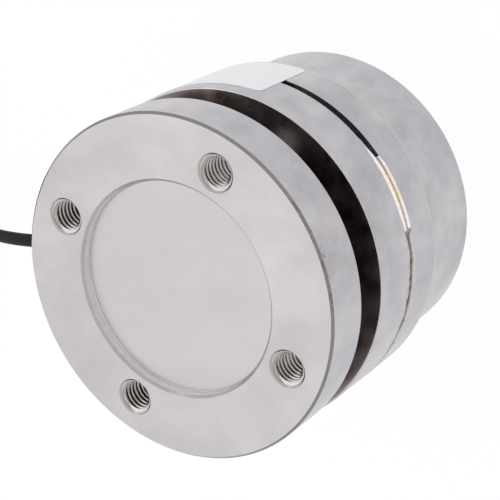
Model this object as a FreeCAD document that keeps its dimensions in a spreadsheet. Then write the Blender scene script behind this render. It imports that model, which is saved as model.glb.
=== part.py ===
"""Column load cell: a flanged, strain-gauged column sealed in a two-part steel casing, with a cable.

Frame: +Z is the column's axis, the origin is the middle of the rear face, and the cable leaves along +X.
"""
import FreeCAD, Part
import math
import os
import Sketcher
from FreeCAD import Placement, Rotation, Vector

doc = FreeCAD.newDocument("column_load_cell")
sizes = doc.addObject("Spreadsheet::Sheet", "Sizes")

# Driving dimensions, in millimetres and degrees
DIMENSIONS = {
    # outside of the body, along the axis
    "BodyDiameter": 80.0,
    "BossStep": 2.7,
    "BossHeight": 23.1,
    "CollarHeight": 10.3,
    "SeamWidth": 2.4,
    "SleeveHeight": 12.8,
    "GrooveWidth": 8.8,
    "FlangeThickness": 12.0,
    "FlangeChamfer": 0.7,
    "EdgeChamfer": 0.4,
    # shallow recess in the loading face
    "RecessMargin": 2.0,
    "RecessDepth": 2.2,
    "RecessChamfer": 0.6,
    "RecessFillet": 0.4,
    # tapped holes of both faces
    "BoltMargin": 9.0,
    "BoltCount": 4,
    "BoltAngle": 59.0,
    "TapDiameter": 6.7,
    "TapChamferDiameter": 8.8,
    "RearTapLand": 3.5,
    "DrillTip": 1.9,
    # neck, gauged column and foot of the spring element
    "NeckMargin": 5.65,
    "NeckTaper": 6.0,
    "ColumnStep": 7.0,
    "FlatCut": 2.0,
    "FlatCount": 4,
    "FlatAngle": 45.0,
    "FlatMargin": 1.5,
    "PassClearance": 0.5,
    "FootThickness": 7.0,
    # seal round the neck
    "NeckClearance": 0.3,
    "RingGrooveDepth": 1.3,
    "RingGrooveWidth": 2.2,
    # sleeve
    "WebThickness": 4.0,
    "SleeveWall": 6.0,
    "SpigotWall": 2.8,
    "SpigotDepth": 5.0,
    "SpigotClearance": 0.2,
    # base housing and what closes it
    "BaseFloor": 14.0,
    "CoverMargin": 1.6,
    "CoverRecess": 2.5,
    "CoverThickness": 2.3,
    "CoverClearance": 0.1,
    "SeamFill": 1.4,
    "SeamCrown": 0.4,
    # screws and pins of the foot
    "FootScrewMargin": 4.8,
    "FootScrewCount": 6,
    "FootScrewDiameter": 5.0,
    "FootScrewLength": 10.0,
    "FootHeadDiameter": 8.5,
    "FootHeadHeight": 5.0,
    "FootHeadPocket": 6.0,
    "FootSocketWidth": 4.0,
    "FootSocketDepth": 2.5,
    "ScrewClearance": 0.3,
    "HeadClearance": 0.5,
    "ThreadClearance": 0.05,
    "ThreadRunout": 0.5,
    "PinDiameter": 4.0,
    "PinCount": 2,
    "PinAngle": 90.0,
    "PinDepth": 4.0,
    "PinClearance": 0.02,
    # gauges, pads and leads on the flats
    "GaugeWidth": 8.0,
    "GaugeThickness": 0.15,
    "GaugeGap": 0.3,
    "GaugeTopGap": 0.4,
    "PadClearance": 0.2,
    "PadWidth": 5.0,
    "PadHeight": 2.4,
    "PadThickness": 0.8,
    "LeadDiameter": 0.8,
    "LeadMargin": 5.3,
    "LeadBend": 1.2,
    # compensation board
    "BoardClearance": 3.0,
    "BoardBoreClearance": 1.0,
    "BoardThickness": 1.6,
    "StandoffMargin": 3.2,
    "StandoffCount": 3,
    "StandoffAngle": 30.0,
    "StandoffDiameter": 3.8,
    "StandoffHeight": 4.0,
    "StudDiameter": 2.0,
    "StudLength": 2.0,
    "BoardScrewLength": 5.0,
    "BoardHeadDiameter": 3.8,
    "BoardHeadHeight": 1.5,
    "ResistorMargin": 5.0,
    "ResistorLength": 6.0,
    "ResistorWidth": 2.4,
    "ResistorHeight": 1.8,
    "TerminalMargin": 4.5,
    "TerminalCount": 4,
    "TerminalPitch": 9.0,
    "TerminalDiameter": 1.2,
    "TerminalCollar": 2.0,
    "TerminalHeight": 3.0,
    "TerminalTail": 1.0,
    # cable gland, along +X
    "CableDiameter": 3.3,
    "CoreDiameter": 0.7,
    "CoreOffset": 0.65,
    "CoreStraight": 2.0,
    "CoreRise": 5.0,
    "JacketOverhang": 0.3,
    "ClampDiameter": 4.6,
    "ClampLength": 3.0,
    "GlandTailLength": 7.0,
    "GlandThreadDiameter": 7.8,
    "GlandHoleDiameter": 8.0,
    "SpotFaceDiameter": 12.0,
    "SpotFaceDepth": 0.7,
    "GasketDiameter": 11.2,
    "GasketThickness": 0.8,
    "GlandHex": 10.0,
    "GlandHexLength": 2.6,
    "GlandNeckDiameter": 7.6,
    "GlandNeckLength": 4.6,
    "GlandBoreClearance": 0.3,
    "GlandSealDiameter": 6.0,
    "GlandSealLength": 4.4,
    "NutGap": 0.3,
    "NutLength": 6.4,
    "NutWall": 1.2,
    "NutClearance": 0.1,
    "ReliefRootDiameter": 5.0,
    "ReliefTipDiameter": 4.3,
    "ReliefLength": 4.0,
    # label
    "LabelThickness": 0.12,
    "LabelFoot": 24.4,
    "LabelHeight": 20.4,
    "LabelStart": 250.9,
    "LabelSweep": 72.0,
    "LabelCorner": 1.8,
    # coil of spare cable and its bare end
    "CoilMeanDiameter": 38.0,
    "CoilTurnsAcross": 5,
    "CoilTurnsHigh": 5,
    "CoilFloorGap": 1.0,
    "TieWidth": 3.2,
    "TieThickness": 0.8,
    "TieCount": 2,
    "TieAngle": 60.0,
    "TailShift": -4.0,
    "CoreLeadLength": 16.0,
    "CoreLeadStraight": 2.0,
    "CoreLeadKnee": 9.6,
    "CoreLeadKneeDrop": 0.6,
    "CoreLeadDrop": 1.0,
    "CoreLeadKneeSpread": 2.4,
    "CoreLeadSpread": 4.0,
    "LeadGap": 0.03,
    "FloorGap": 0.1,
    "EndSleeveDiameter": 4.1,
    "EndSleeveLength": 9.0,
}
for row, (alias, number) in enumerate(DIMENSIONS.items(), start=1):
    sizes.set("A%d" % row, alias)
    sizes.set("B%d" % row, str(number))
    sizes.setAlias("B%d" % row, alias)
doc.recompute()

# Radii, from the outside of the body inwards
BODY_RADIUS = "(Sizes.BodyDiameter / 2)"
BOSS_RADIUS = "(%s - Sizes.BossStep)" % BODY_RADIUS
TAP_RADIUS = "(Sizes.TapDiameter / 2)"
MOUTH_RADIUS = "(Sizes.TapChamferDiameter / 2)"
BOLT_RADIUS = "(%s - Sizes.BoltMargin)" % BODY_RADIUS
RECESS_RADIUS = "(%s - %s - Sizes.RecessMargin)" % (BOLT_RADIUS, MOUTH_RADIUS)
COVER_RADIUS = "(%s - %s - Sizes.CoverMargin)" % (BOLT_RADIUS, MOUTH_RADIUS)
CAVITY_RADIUS = "(%s - Sizes.SleeveWall)" % BODY_RADIUS
SPIGOT_RADIUS = "(%s + Sizes.SpigotWall)" % CAVITY_RADIUS
NECK_RADIUS = "(%s - %s - Sizes.NeckMargin)" % (BOLT_RADIUS, TAP_RADIUS)
NECK_BORE = "(%s + Sizes.NeckClearance)" % NECK_RADIUS
COLUMN_RADIUS = "(%s - Sizes.ColumnStep)" % NECK_RADIUS
FLAT_DISTANCE = "(%s - Sizes.FlatCut)" % COLUMN_RADIUS
FOOT_RADIUS = "(%s - Sizes.PassClearance)" % NECK_BORE
FOOT_SCREW_RADIUS = "(%s - Sizes.FootScrewMargin)" % FOOT_RADIUS
STANDOFF_RADIUS = "(%s - Sizes.StandoffMargin)" % FOOT_RADIUS
BOARD_RADIUS = "(%s - Sizes.BoardClearance)" % CAVITY_RADIUS
BOARD_BORE = "(%s + Sizes.BoardBoreClearance)" % COLUMN_RADIUS
LEAD_RADIUS = "(%s + Sizes.LeadMargin)" % BOARD_BORE
RESISTOR_RADIUS = "(%s - Sizes.ResistorMargin)" % BOARD_RADIUS
TERMINAL_RADIUS = "(%s - Sizes.TerminalMargin)" % BOARD_RADIUS

# Levels along the axis, from the rear face upwards
COLLAR_TOP = "(Sizes.BossHeight + Sizes.CollarHeight)"
SLEEVE_FOOT = "(%s + Sizes.SeamWidth)" % COLLAR_TOP
SLEEVE_TOP = "(%s + Sizes.SleeveHeight)" % SLEEVE_FOOT
WEB_FOOT = "(%s - Sizes.WebThickness)" % SLEEVE_TOP
FLANGE_BACK = "(%s + Sizes.GrooveWidth)" % SLEEVE_TOP
FLANGE_FRONT = "(%s + Sizes.FlangeThickness)" % FLANGE_BACK
RECESS_FLOOR = "(%s - Sizes.RecessDepth)" % FLANGE_FRONT
FOOT_TOP = "(Sizes.BaseFloor + Sizes.FootThickness)"
TAPER_TOP = "(%s - Sizes.FlatMargin)" % WEB_FOOT
COLUMN_TOP = "(%s - Sizes.NeckTaper)" % TAPER_TOP
SPIGOT_END = "(%s - Sizes.SpigotDepth)" % SLEEVE_FOOT
HEAD_SEAT = "(Sizes.CoverRecess + Sizes.FootHeadPocket)"
REAR_TAP_END = "(Sizes.BaseFloor - Sizes.RearTapLand)"
BOARD_FOOT = "(%s + Sizes.StandoffHeight)" % FOOT_TOP
BOARD_TOP = "(%s + Sizes.BoardThickness)" % BOARD_FOOT
EXIT_LEVEL = "(%s + Sizes.SleeveHeight / 2)" % SLEEVE_FOOT

# Places along the gland's axis, from the middle of the body outwards
SPOT_FACE = "(%s - Sizes.SpotFaceDepth)" % BODY_RADIUS
HEX_START = "(%s + Sizes.GasketThickness)" % SPOT_FACE
HEX_END = "(%s + Sizes.GlandHexLength)" % HEX_START
NECK_END = "(%s + Sizes.GlandNeckLength)" % HEX_END
NUT_START = "(%s + Sizes.NutGap)" % HEX_END
NUT_END = "(%s + Sizes.NutLength)" % NUT_START
RELIEF_END = "(%s + Sizes.ReliefLength)" % NUT_END
GLAND_TAIL = "(%s - Sizes.GlandTailLength)" % SPOT_FACE
JACKET_END = "(%s - Sizes.ClampLength - Sizes.JacketOverhang)" % GLAND_TAIL


def size(expression):
    """Number that an expression of the sheet's cells has now."""
    return float(sizes.evalExpression(expression))


def origin_feature(body, role):
    """Plane or axis of a body's own origin."""
    for feature in body.Origin.OriginFeatures:
        if feature.Role == role:
            return feature


def new_body(label):
    body = doc.addObject("PartDesign::Body", label)
    body.Label = label
    body.AllowCompound = True
    return body


def new_sketch(body, name, role, turn=None, lift=None):
    """Sketch on an origin plane, turned about the axis and lifted along it by expressions."""
    sketch = body.newObject("Sketcher::SketchObject", name)
    sketch.AttachmentSupport = [(origin_feature(body, role), "")]
    sketch.MapMode = "FlatFace"
    upright = role != "XY_Plane"
    spin = Vector(0, 1, 0) if upright else Vector(0, 0, 1)
    if turn:
        sketch.AttachmentOffset = Placement(Vector(), Rotation(spin, size(turn)))
        sketch.setExpression("AttachmentOffset.Rotation.Angle", turn)
    if lift:
        sketch.setExpression("AttachmentOffset.Base.z", lift)
    return sketch


def bind(sketch, kind, geometry, point, name, expression):
    """Distance of a sketch point from the origin, bound to an expression."""
    number = size(expression)
    if abs(number) < 1e-9:
        line = -2 if kind == "DistanceX" else -1
        sketch.addConstraint(Sketcher.Constraint("PointOnObject", geometry, point, line))
        return
    index = sketch.addConstraint(Sketcher.Constraint(kind, -1, 1, geometry, point, number))
    sketch.renameConstraint(index, name)
    sketch.setExpression("Constraints." + name, expression)


def draw_outline(sketch, corners):
    """Closed outline of straight lines through corners given as pairs of expressions."""
    spots = [Vector(size(across), size(up), 0) for across, up in corners]
    for index, spot in enumerate(spots):
        following = spots[(index + 1) % len(spots)]
        sketch.addGeometry(Part.LineSegment(spot, following), False)
    for index in range(len(spots)):
        following = (index + 1) % len(spots)
        sketch.addConstraint(Sketcher.Constraint("Coincident", index, 2, following, 1))
    for index, (across, up) in enumerate(corners):
        bind(sketch, "DistanceX", index, 1, "across%d" % index, across)
        bind(sketch, "DistanceY", index, 1, "up%d" % index, up)


def turned(body, name, outline, along="Z"):
    """Solid of revolution; outline holds (radius, height) pairs, or (radius, reach) pairs along X."""
    sketch = new_sketch(body, name + "_outline", "XZ_Plane")
    if along == "Z":
        draw_outline(sketch, outline)
    else:
        draw_outline(sketch, [(reach, radius) for radius, reach in outline])
    turn = body.newObject("PartDesign::Revolution", name)
    turn.Profile = sketch
    turn.ReferenceAxis = (sketch, ["V_Axis" if along == "Z" else "H_Axis"])
    turn.Angle = 360
    body.Tip = turn
    doc.recompute()
    return turn


def bored(body, name, outline, distance, angle, count, adds=False):
    """Ring of equal holes or pegs parallel to Z; outline holds (radius, height) pairs about their axis."""
    sketch = new_sketch(body, name + "_outline", "XZ_Plane", turn=angle)
    draw_outline(sketch, [("(%s) + (%s)" % (distance, radius), level) for radius, level in outline])
    axis = sketch.addGeometry(Part.LineSegment(Vector(size(distance), 0, 0), Vector(size(distance), 1, 0)), True)
    sketch.addConstraint(Sketcher.Constraint("Vertical", axis))
    sketch.addConstraint(Sketcher.Constraint("DistanceY", axis, 1, axis, 2, 1))
    sketch.addConstraint(Sketcher.Constraint("PointOnObject", axis, 1, -1))
    bind(sketch, "DistanceX", axis, 1, "axis", distance)
    before = body.Shape.Volume if body.Tip and not adds else 0
    kind = "PartDesign::Revolution" if adds else "PartDesign::Groove"
    turn = body.newObject(kind, name)
    turn.Profile = sketch
    turn.ReferenceAxis = (sketch, ["Axis0"])
    turn.Angle = 360
    body.Tip = turn
    doc.recompute()
    ring = body.newObject("PartDesign::PolarPattern", name + "_ring")
    ring.Originals = [turn]
    ring.Axis = (origin_feature(body, "Z_Axis"), [""])
    ring.Angle = 360
    ring.setExpression("Occurrences", count)
    body.Tip = ring
    doc.recompute()
    if not adds and body.Shape.Volume >= before - 1e-6:
        raise RuntimeError(name + " cuts nothing")
    return ring


def prism_cut(body, name, corners, lift, depth, turn=None, count=None):
    """Pocket of a closed outline, downwards from a level, repeated round the axis where a count is given."""
    sketch = new_sketch(body, name + "_outline", "XY_Plane", turn=turn, lift=lift)
    draw_outline(sketch, corners)
    before = body.Shape.Volume
    pocket = body.newObject("PartDesign::Pocket", name)
    pocket.Profile = sketch
    pocket.setExpression("Length", depth)
    body.Tip = pocket
    doc.recompute()
    if body.Shape.Volume >= before - 1e-6:
        raise RuntimeError(name + " cuts nothing")
    if count:
        ring = body.newObject("PartDesign::PolarPattern", name + "_ring")
        ring.Originals = [pocket]
        ring.Axis = (origin_feature(body, "Z_Axis"), [""])
        ring.Angle = 360
        ring.setExpression("Occurrences", count)
        body.Tip = ring
        doc.recompute()


def round_edges(body, name, level, radius, fillet):
    """Fillet on the round edges of one radius at one level."""
    base = body.Tip
    picked = []
    for number, edge in enumerate(base.Shape.Edges, start=1):
        curve = edge.Curve
        if not isinstance(curve, Part.Circle):
            continue
        if abs(curve.Center.z - size(level)) < 1e-4 and abs(curve.Radius - size(radius)) < 1e-4:
            picked.append("Edge%d" % number)
    feature = body.newObject("PartDesign::Fillet", name)
    feature.Base = (base, picked)
    feature.setExpression("Radius", fillet)
    body.Tip = feature
    doc.recompute()


def place_round(item, radius, side, level, angle):
    """Place of a feature that stands off the axis: out by radius, sideways by side, turned by angle."""
    item.Placement = Placement(Vector(), Rotation(Vector(0, 0, 1), 10.0))
    item.setExpression("Placement.Base.x", "(%s) * cos(%s) - (%s) * sin(%s)" % (radius, angle, side, angle))
    item.setExpression("Placement.Base.y", "(%s) * sin(%s) + (%s) * cos(%s)" % (radius, angle, side, angle))
    item.setExpression("Placement.Base.z", level)
    item.setExpression("Placement.Rotation.Angle", angle)


def block(label, depth, width, height, radius, level, angle):
    """Block whose inner face stands at a radius, square to the direction of an angle."""
    item = doc.addObject("Part::Box", label)
    item.Label = label
    item.setExpression("Length", depth)
    item.setExpression("Width", width)
    item.setExpression("Height", height)
    place_round(item, radius, "-(%s) / 2" % width, level, angle)
    return item


def make_spring_element():
    body = new_body("spring_element")
    half = BODY_RADIUS
    neck = NECK_RADIUS
    ring_middle = "(%s + Sizes.WebThickness / 2)" % WEB_FOOT
    ring_low = "%s - Sizes.RingGrooveWidth / 2" % ring_middle
    ring_high = "%s + Sizes.RingGrooveWidth / 2" % ring_middle
    ring_floor = "%s - Sizes.RingGrooveDepth" % neck
    recess = RECESS_RADIUS
    turned(body, "turned_profile", [
        ("0", "Sizes.BaseFloor"),
        (FOOT_RADIUS, "Sizes.BaseFloor"),
        (FOOT_RADIUS, FOOT_TOP),
        (COLUMN_RADIUS, FOOT_TOP),
        (COLUMN_RADIUS, COLUMN_TOP),
        (neck, TAPER_TOP),
        (neck, ring_low),
        (ring_floor, ring_low),
        (ring_floor, ring_high),
        (neck, ring_high),
        (neck, FLANGE_BACK),
        ("%s - Sizes.EdgeChamfer / 2" % half, FLANGE_BACK),
        (half, "%s + Sizes.EdgeChamfer / 2" % FLANGE_BACK),
        (half, "%s - Sizes.FlangeChamfer" % FLANGE_FRONT),
        ("%s - Sizes.FlangeChamfer" % half, FLANGE_FRONT),
        ("%s + Sizes.RecessChamfer" % recess, FLANGE_FRONT),
        (recess, "%s - Sizes.RecessChamfer" % FLANGE_FRONT),
        (recess, RECESS_FLOOR),
        ("0", RECESS_FLOOR),
    ])
    round_edges(body, "recess_fillet", RECESS_FLOOR, recess, "Sizes.RecessFillet")
    tap = TAP_RADIUS
    mouth = MOUTH_RADIUS
    bored(body, "flange_taps", [
        ("0", "%s - 1" % FLANGE_BACK),
        (tap, "%s - 1" % FLANGE_BACK),
        (tap, "%s - (%s - %s)" % (FLANGE_FRONT, mouth, tap)),
        (mouth, FLANGE_FRONT),
        (mouth, "%s + 1" % FLANGE_FRONT),
        ("0", "%s + 1" % FLANGE_FRONT),
    ], BOLT_RADIUS, "Sizes.BoltAngle", "Sizes.BoltCount")
    reach = "%s + 1" % COLUMN_RADIUS
    flat_foot = "(%s + Sizes.FlatMargin)" % FOOT_TOP
    prism_cut(body, "gauge_flats", [
        (FLAT_DISTANCE, "-(%s)" % reach),
        (reach, "-(%s)" % reach),
        (reach, reach),
        (FLAT_DISTANCE, reach),
    ], COLUMN_TOP, "%s - %s" % (COLUMN_TOP, flat_foot), turn="Sizes.FlatAngle", count="Sizes.FlatCount")
    thread = "Sizes.FootScrewDiameter / 2 + Sizes.ThreadClearance"
    depth = "Sizes.FootScrewLength - (Sizes.BaseFloor - %s) + Sizes.ThreadRunout" % HEAD_SEAT
    bored(body, "foot_taps", [
        ("0", "Sizes.BaseFloor - 1"),
        (thread, "Sizes.BaseFloor - 1"),
        (thread, "Sizes.BaseFloor + %s" % depth),
        ("0", "Sizes.BaseFloor + %s" % depth),
    ], FOOT_SCREW_RADIUS, "0", "Sizes.FootScrewCount")
    pin = "Sizes.PinDiameter / 2 + Sizes.PinClearance"
    bored(body, "pin_holes", [
        ("0", "Sizes.BaseFloor - 1"),
        (pin, "Sizes.BaseFloor - 1"),
        (pin, "Sizes.BaseFloor + Sizes.PinDepth"),
        ("0", "Sizes.BaseFloor + Sizes.PinDepth"),
    ], FOOT_SCREW_RADIUS, "Sizes.PinAngle", "Sizes.PinCount")
    stud = "Sizes.StudDiameter / 2 + Sizes.ThreadClearance"
    bored(body, "standoff_taps", [
        ("0", "%s - Sizes.StudLength - Sizes.ThreadRunout" % FOOT_TOP),
        (stud, "%s - Sizes.StudLength - Sizes.ThreadRunout" % FOOT_TOP),
        (stud, "%s + 1" % FOOT_TOP),
        ("0", "%s + 1" % FOOT_TOP),
    ], STANDOFF_RADIUS, "Sizes.StandoffAngle", "Sizes.StandoffCount")
    return body


def make_housing_sleeve():
    body = new_body("housing_sleeve")
    half = BODY_RADIUS
    cavity = CAVITY_RADIUS
    bore = NECK_BORE
    chamfer = "Sizes.EdgeChamfer"
    turned(body, "turned_profile", [
        (bore, WEB_FOOT),
        (cavity, WEB_FOOT),
        (cavity, SPIGOT_END),
        ("%s - Sizes.SpigotClearance" % SPIGOT_RADIUS, SPIGOT_END),
        ("%s - Sizes.SpigotClearance" % SPIGOT_RADIUS, SLEEVE_FOOT),
        ("%s - %s" % (half, chamfer), SLEEVE_FOOT),
        (half, "%s + %s" % (SLEEVE_FOOT, chamfer)),
        (half, "%s - %s" % (SLEEVE_TOP, chamfer)),
        ("%s - %s" % (half, chamfer), SLEEVE_TOP),
        (bore, SLEEVE_TOP),
    ])
    before = body.Shape.Volume
    sketch = new_sketch(body, "gland_hole_outline", "XZ_Plane")
    spot = "Sizes.SpotFaceDiameter / 2"
    hole = "Sizes.GlandHoleDiameter / 2"
    draw_outline(sketch, [
        ("%s - Sizes.SleeveWall - 4" % half, EXIT_LEVEL),
        ("%s - Sizes.SleeveWall - 4" % half, "%s + %s" % (EXIT_LEVEL, hole)),
        (SPOT_FACE, "%s + %s" % (EXIT_LEVEL, hole)),
        (SPOT_FACE, "%s + %s" % (EXIT_LEVEL, spot)),
        ("%s + 2" % half, "%s + %s" % (EXIT_LEVEL, spot)),
        ("%s + 2" % half, EXIT_LEVEL),
    ])
    level = size(EXIT_LEVEL)
    axis = sketch.addGeometry(Part.LineSegment(Vector(0, level, 0), Vector(1, level, 0)), True)
    sketch.addConstraint(Sketcher.Constraint("Horizontal", axis))
    sketch.addConstraint(Sketcher.Constraint("DistanceX", axis, 1, axis, 2, 1))
    sketch.addConstraint(Sketcher.Constraint("PointOnObject", axis, 1, -2))
    bind(sketch, "DistanceY", axis, 1, "axis", EXIT_LEVEL)
    hole_cut = body.newObject("PartDesign::Groove", "gland_hole")
    hole_cut.Profile = sketch
    hole_cut.ReferenceAxis = (sketch, ["Axis0"])
    hole_cut.Angle = 360
    body.Tip = hole_cut
    doc.recompute()
    if body.Shape.Volume >= before:
        raise RuntimeError("gland hole cuts nothing")
    return body


def make_base_housing():
    body = new_body("base_housing")
    half = BODY_RADIUS
    boss = BOSS_RADIUS
    chamfer = "Sizes.EdgeChamfer"
    cover = COVER_RADIUS
    cavity = CAVITY_RADIUS
    turned(body, "turned_profile", [
        ("0", "Sizes.CoverRecess"),
        (cover, "Sizes.CoverRecess"),
        (cover, "0"),
        ("%s - %s" % (boss, chamfer), "0"),
        (boss, chamfer),
        (boss, "Sizes.BossHeight"),
        ("%s - %s" % (half, chamfer), "Sizes.BossHeight"),
        (half, "Sizes.BossHeight + %s" % chamfer),
        (half, "%s - %s / 2" % (COLLAR_TOP, chamfer)),
        ("%s - %s / 2" % (half, chamfer), COLLAR_TOP),
        (SPIGOT_RADIUS, COLLAR_TOP),
        (SPIGOT_RADIUS, SPIGOT_END),
        (cavity, SPIGOT_END),
        (cavity, "Sizes.BaseFloor"),
        ("0", "Sizes.BaseFloor"),
    ])
    head = "Sizes.FootHeadDiameter / 2 + Sizes.HeadClearance / 2"
    shank = "Sizes.FootScrewDiameter / 2 + Sizes.ScrewClearance"
    bored(body, "foot_screw_holes", [
        ("0", "Sizes.CoverRecess - 1"),
        (head, "Sizes.CoverRecess - 1"),
        (head, HEAD_SEAT),
        (shank, HEAD_SEAT),
        (shank, "Sizes.BaseFloor + 1"),
        ("0", "Sizes.BaseFloor + 1"),
    ], FOOT_SCREW_RADIUS, "0", "Sizes.FootScrewCount")
    pin = "Sizes.PinDiameter / 2 + Sizes.PinClearance"
    bored(body, "pin_holes", [
        ("0", "Sizes.BaseFloor - Sizes.PinDepth"),
        (pin, "Sizes.BaseFloor - Sizes.PinDepth"),
        (pin, "Sizes.BaseFloor + 1"),
        ("0", "Sizes.BaseFloor + 1"),
    ], FOOT_SCREW_RADIUS, "Sizes.PinAngle", "Sizes.PinCount")
    tap = TAP_RADIUS
    mouth = MOUTH_RADIUS
    bored(body, "rear_taps", [
        ("0", "-1"),
        (mouth, "-1"),
        (mouth, "0"),
        (tap, "%s - %s" % (mouth, tap)),
        (tap, REAR_TAP_END),
        ("0", "%s + Sizes.DrillTip" % REAR_TAP_END),
    ], BOLT_RADIUS, "Sizes.BoltAngle", "Sizes.BoltCount")
    return body


def make_seam_weld():
    body = new_body("seam_weld")
    outer = "%s - Sizes.SeamFill" % BODY_RADIUS
    inner = "%s - Sizes.SpigotClearance" % SPIGOT_RADIUS
    turned(body, "bead", [
        (inner, COLLAR_TOP),
        (outer, COLLAR_TOP),
        ("%s + Sizes.SeamCrown" % outer, "%s + Sizes.SeamWidth / 2" % COLLAR_TOP),
        (outer, SLEEVE_FOOT),
        (inner, SLEEVE_FOOT),
    ])
    return body


def make_neck_o_ring():
    ring = doc.addObject("Part::Torus", "neck_o_ring")
    ring.Label = "neck_o_ring"
    section = "(Sizes.RingGrooveDepth + Sizes.NeckClearance) / 2"
    ring.setExpression("Radius2", section)
    ring.setExpression("Radius1", "%s - %s" % (NECK_BORE, section))
    ring.setExpression("Placement.Base.z", "%s + Sizes.WebThickness / 2" % WEB_FOOT)
    return ring


def make_base_cover():
    body = new_body("base_cover")
    rim = "%s - Sizes.CoverClearance" % COVER_RADIUS
    low = "Sizes.CoverRecess - Sizes.CoverThickness"
    turned(body, "disc", [
        ("0", low),
        ("%s - Sizes.EdgeChamfer" % rim, low),
        (rim, "%s + Sizes.EdgeChamfer" % low),
        (rim, "Sizes.CoverRecess"),
        ("0", "Sizes.CoverRecess"),
    ])
    return body


def make_foot_screws():
    """Socket head cap screws that pull the foot on to the base floor, heads down."""
    body = new_body("foot_screws")
    head = "Sizes.FootHeadDiameter / 2"
    low = "%s - Sizes.FootHeadHeight" % HEAD_SEAT
    shank = "Sizes.FootScrewDiameter / 2"
    bored(body, "screws", [
        ("0", low),
        ("%s - Sizes.EdgeChamfer" % head, low),
        (head, "%s + Sizes.EdgeChamfer" % low),
        (head, HEAD_SEAT),
        (shank, HEAD_SEAT),
        (shank, "%s + Sizes.FootScrewLength" % HEAD_SEAT),
        ("0", "%s + Sizes.FootScrewLength" % HEAD_SEAT),
    ], FOOT_SCREW_RADIUS, "0", "Sizes.FootScrewCount", adds=True)
    corner = "(Sizes.FootSocketWidth / 2 / cos(30))"
    hexagon = [
        ("%s + %s * cos(%d)" % (FOOT_SCREW_RADIUS, corner, turn), "%s * sin(%d)" % (corner, turn))
        for turn in range(0, 360, 60)
    ]
    prism_cut(body, "sockets", hexagon, "%s + Sizes.FootSocketDepth" % low, "Sizes.FootSocketDepth + 1",
              count="Sizes.FootScrewCount")
    return body


def make_dowel_pins():
    body = new_body("dowel_pins")
    bored(body, "pins", [
        ("0", "Sizes.BaseFloor - Sizes.PinDepth"),
        ("Sizes.PinDiameter / 2", "Sizes.BaseFloor - Sizes.PinDepth"),
        ("Sizes.PinDiameter / 2", "Sizes.BaseFloor + Sizes.PinDepth"),
        ("0", "Sizes.BaseFloor + Sizes.PinDepth"),
    ], FOOT_SCREW_RADIUS, "Sizes.PinAngle", "Sizes.PinCount", adds=True)
    return body


PAD_FOOT = "(%s + Sizes.PadClearance)" % BOARD_TOP
GAUGE_FOOT = "(%s + Sizes.PadHeight + Sizes.GaugeGap)" % PAD_FOOT
GAUGE_HEIGHT = "(%s - Sizes.GaugeTopGap - %s)" % (COLUMN_TOP, GAUGE_FOOT)


def make_gauges():
    """Foil gauge, solder pad and lead on each flat of the column."""
    made = []
    for number in range(int(size("Sizes.FlatCount"))):
        angle = "(Sizes.FlatAngle + %d * 360 / Sizes.FlatCount)" % number
        name = "%d" % (number + 1)
        made.append(block("strain_gauge_" + name, "Sizes.GaugeThickness", "Sizes.GaugeWidth",
                          GAUGE_HEIGHT, FLAT_DISTANCE, GAUGE_FOOT, angle))
        made.append(block("terminal_pad_" + name, "Sizes.PadThickness", "Sizes.PadWidth",
                          "Sizes.PadHeight", FLAT_DISTANCE, PAD_FOOT, angle))
        made.append(make_gauge_lead("gauge_lead_" + name, angle))
    return made


def make_gauge_lead(label, angle):
    """Lead from a solder pad out and down to the board."""
    start = size("%s + Sizes.PadThickness" % FLAT_DISTANCE)
    out = size(LEAD_RADIUS)
    high = size("%s + Sizes.PadHeight / 2" % PAD_FOOT)
    low = size(BOARD_TOP)
    points = [Vector(start, 0, high), Vector(out, 0, high), Vector(out, 0, low)]
    item = doc.addObject("Part::Feature", label)
    item.Label = label
    item.Shape = tube(points, size("Sizes.LeadDiameter") / 2, size("Sizes.LeadBend"))[0]
    item.Placement = Placement(Vector(), Rotation(Vector(0, 0, 1), size(angle)))
    return item


def make_board():
    body = new_body("compensation_board")
    turned(body, "ring", [
        (BOARD_BORE, BOARD_FOOT),
        (BOARD_RADIUS, BOARD_FOOT),
        (BOARD_RADIUS, BOARD_TOP),
        (BOARD_BORE, BOARD_TOP),
    ])
    hole = "Sizes.StudDiameter / 2 + Sizes.ThreadClearance * 2"
    bored(body, "screw_holes", [
        ("0", "%s - 1" % BOARD_FOOT),
        (hole, "%s - 1" % BOARD_FOOT),
        (hole, "%s + 1" % BOARD_TOP),
        ("0", "%s + 1" % BOARD_TOP),
    ], STANDOFF_RADIUS, "Sizes.StandoffAngle", "Sizes.StandoffCount")
    for number in range(int(size("Sizes.TerminalCount"))):
        angle = terminal_angle(number)
        pin = "Sizes.TerminalDiameter / 2 + Sizes.ThreadClearance"
        bored(body, "terminal_hole_%d" % (number + 1), [
            ("0", "%s - 1" % BOARD_FOOT),
            (pin, "%s - 1" % BOARD_FOOT),
            (pin, "%s + 1" % BOARD_TOP),
            ("0", "%s + 1" % BOARD_TOP),
        ], TERMINAL_RADIUS, angle, "1")
    return body


def terminal_angle(number):
    """Angle of a board terminal, counted from one end of their row about the +X direction."""
    return "(%d - (Sizes.TerminalCount - 1) / 2) * Sizes.TerminalPitch" % number


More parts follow.
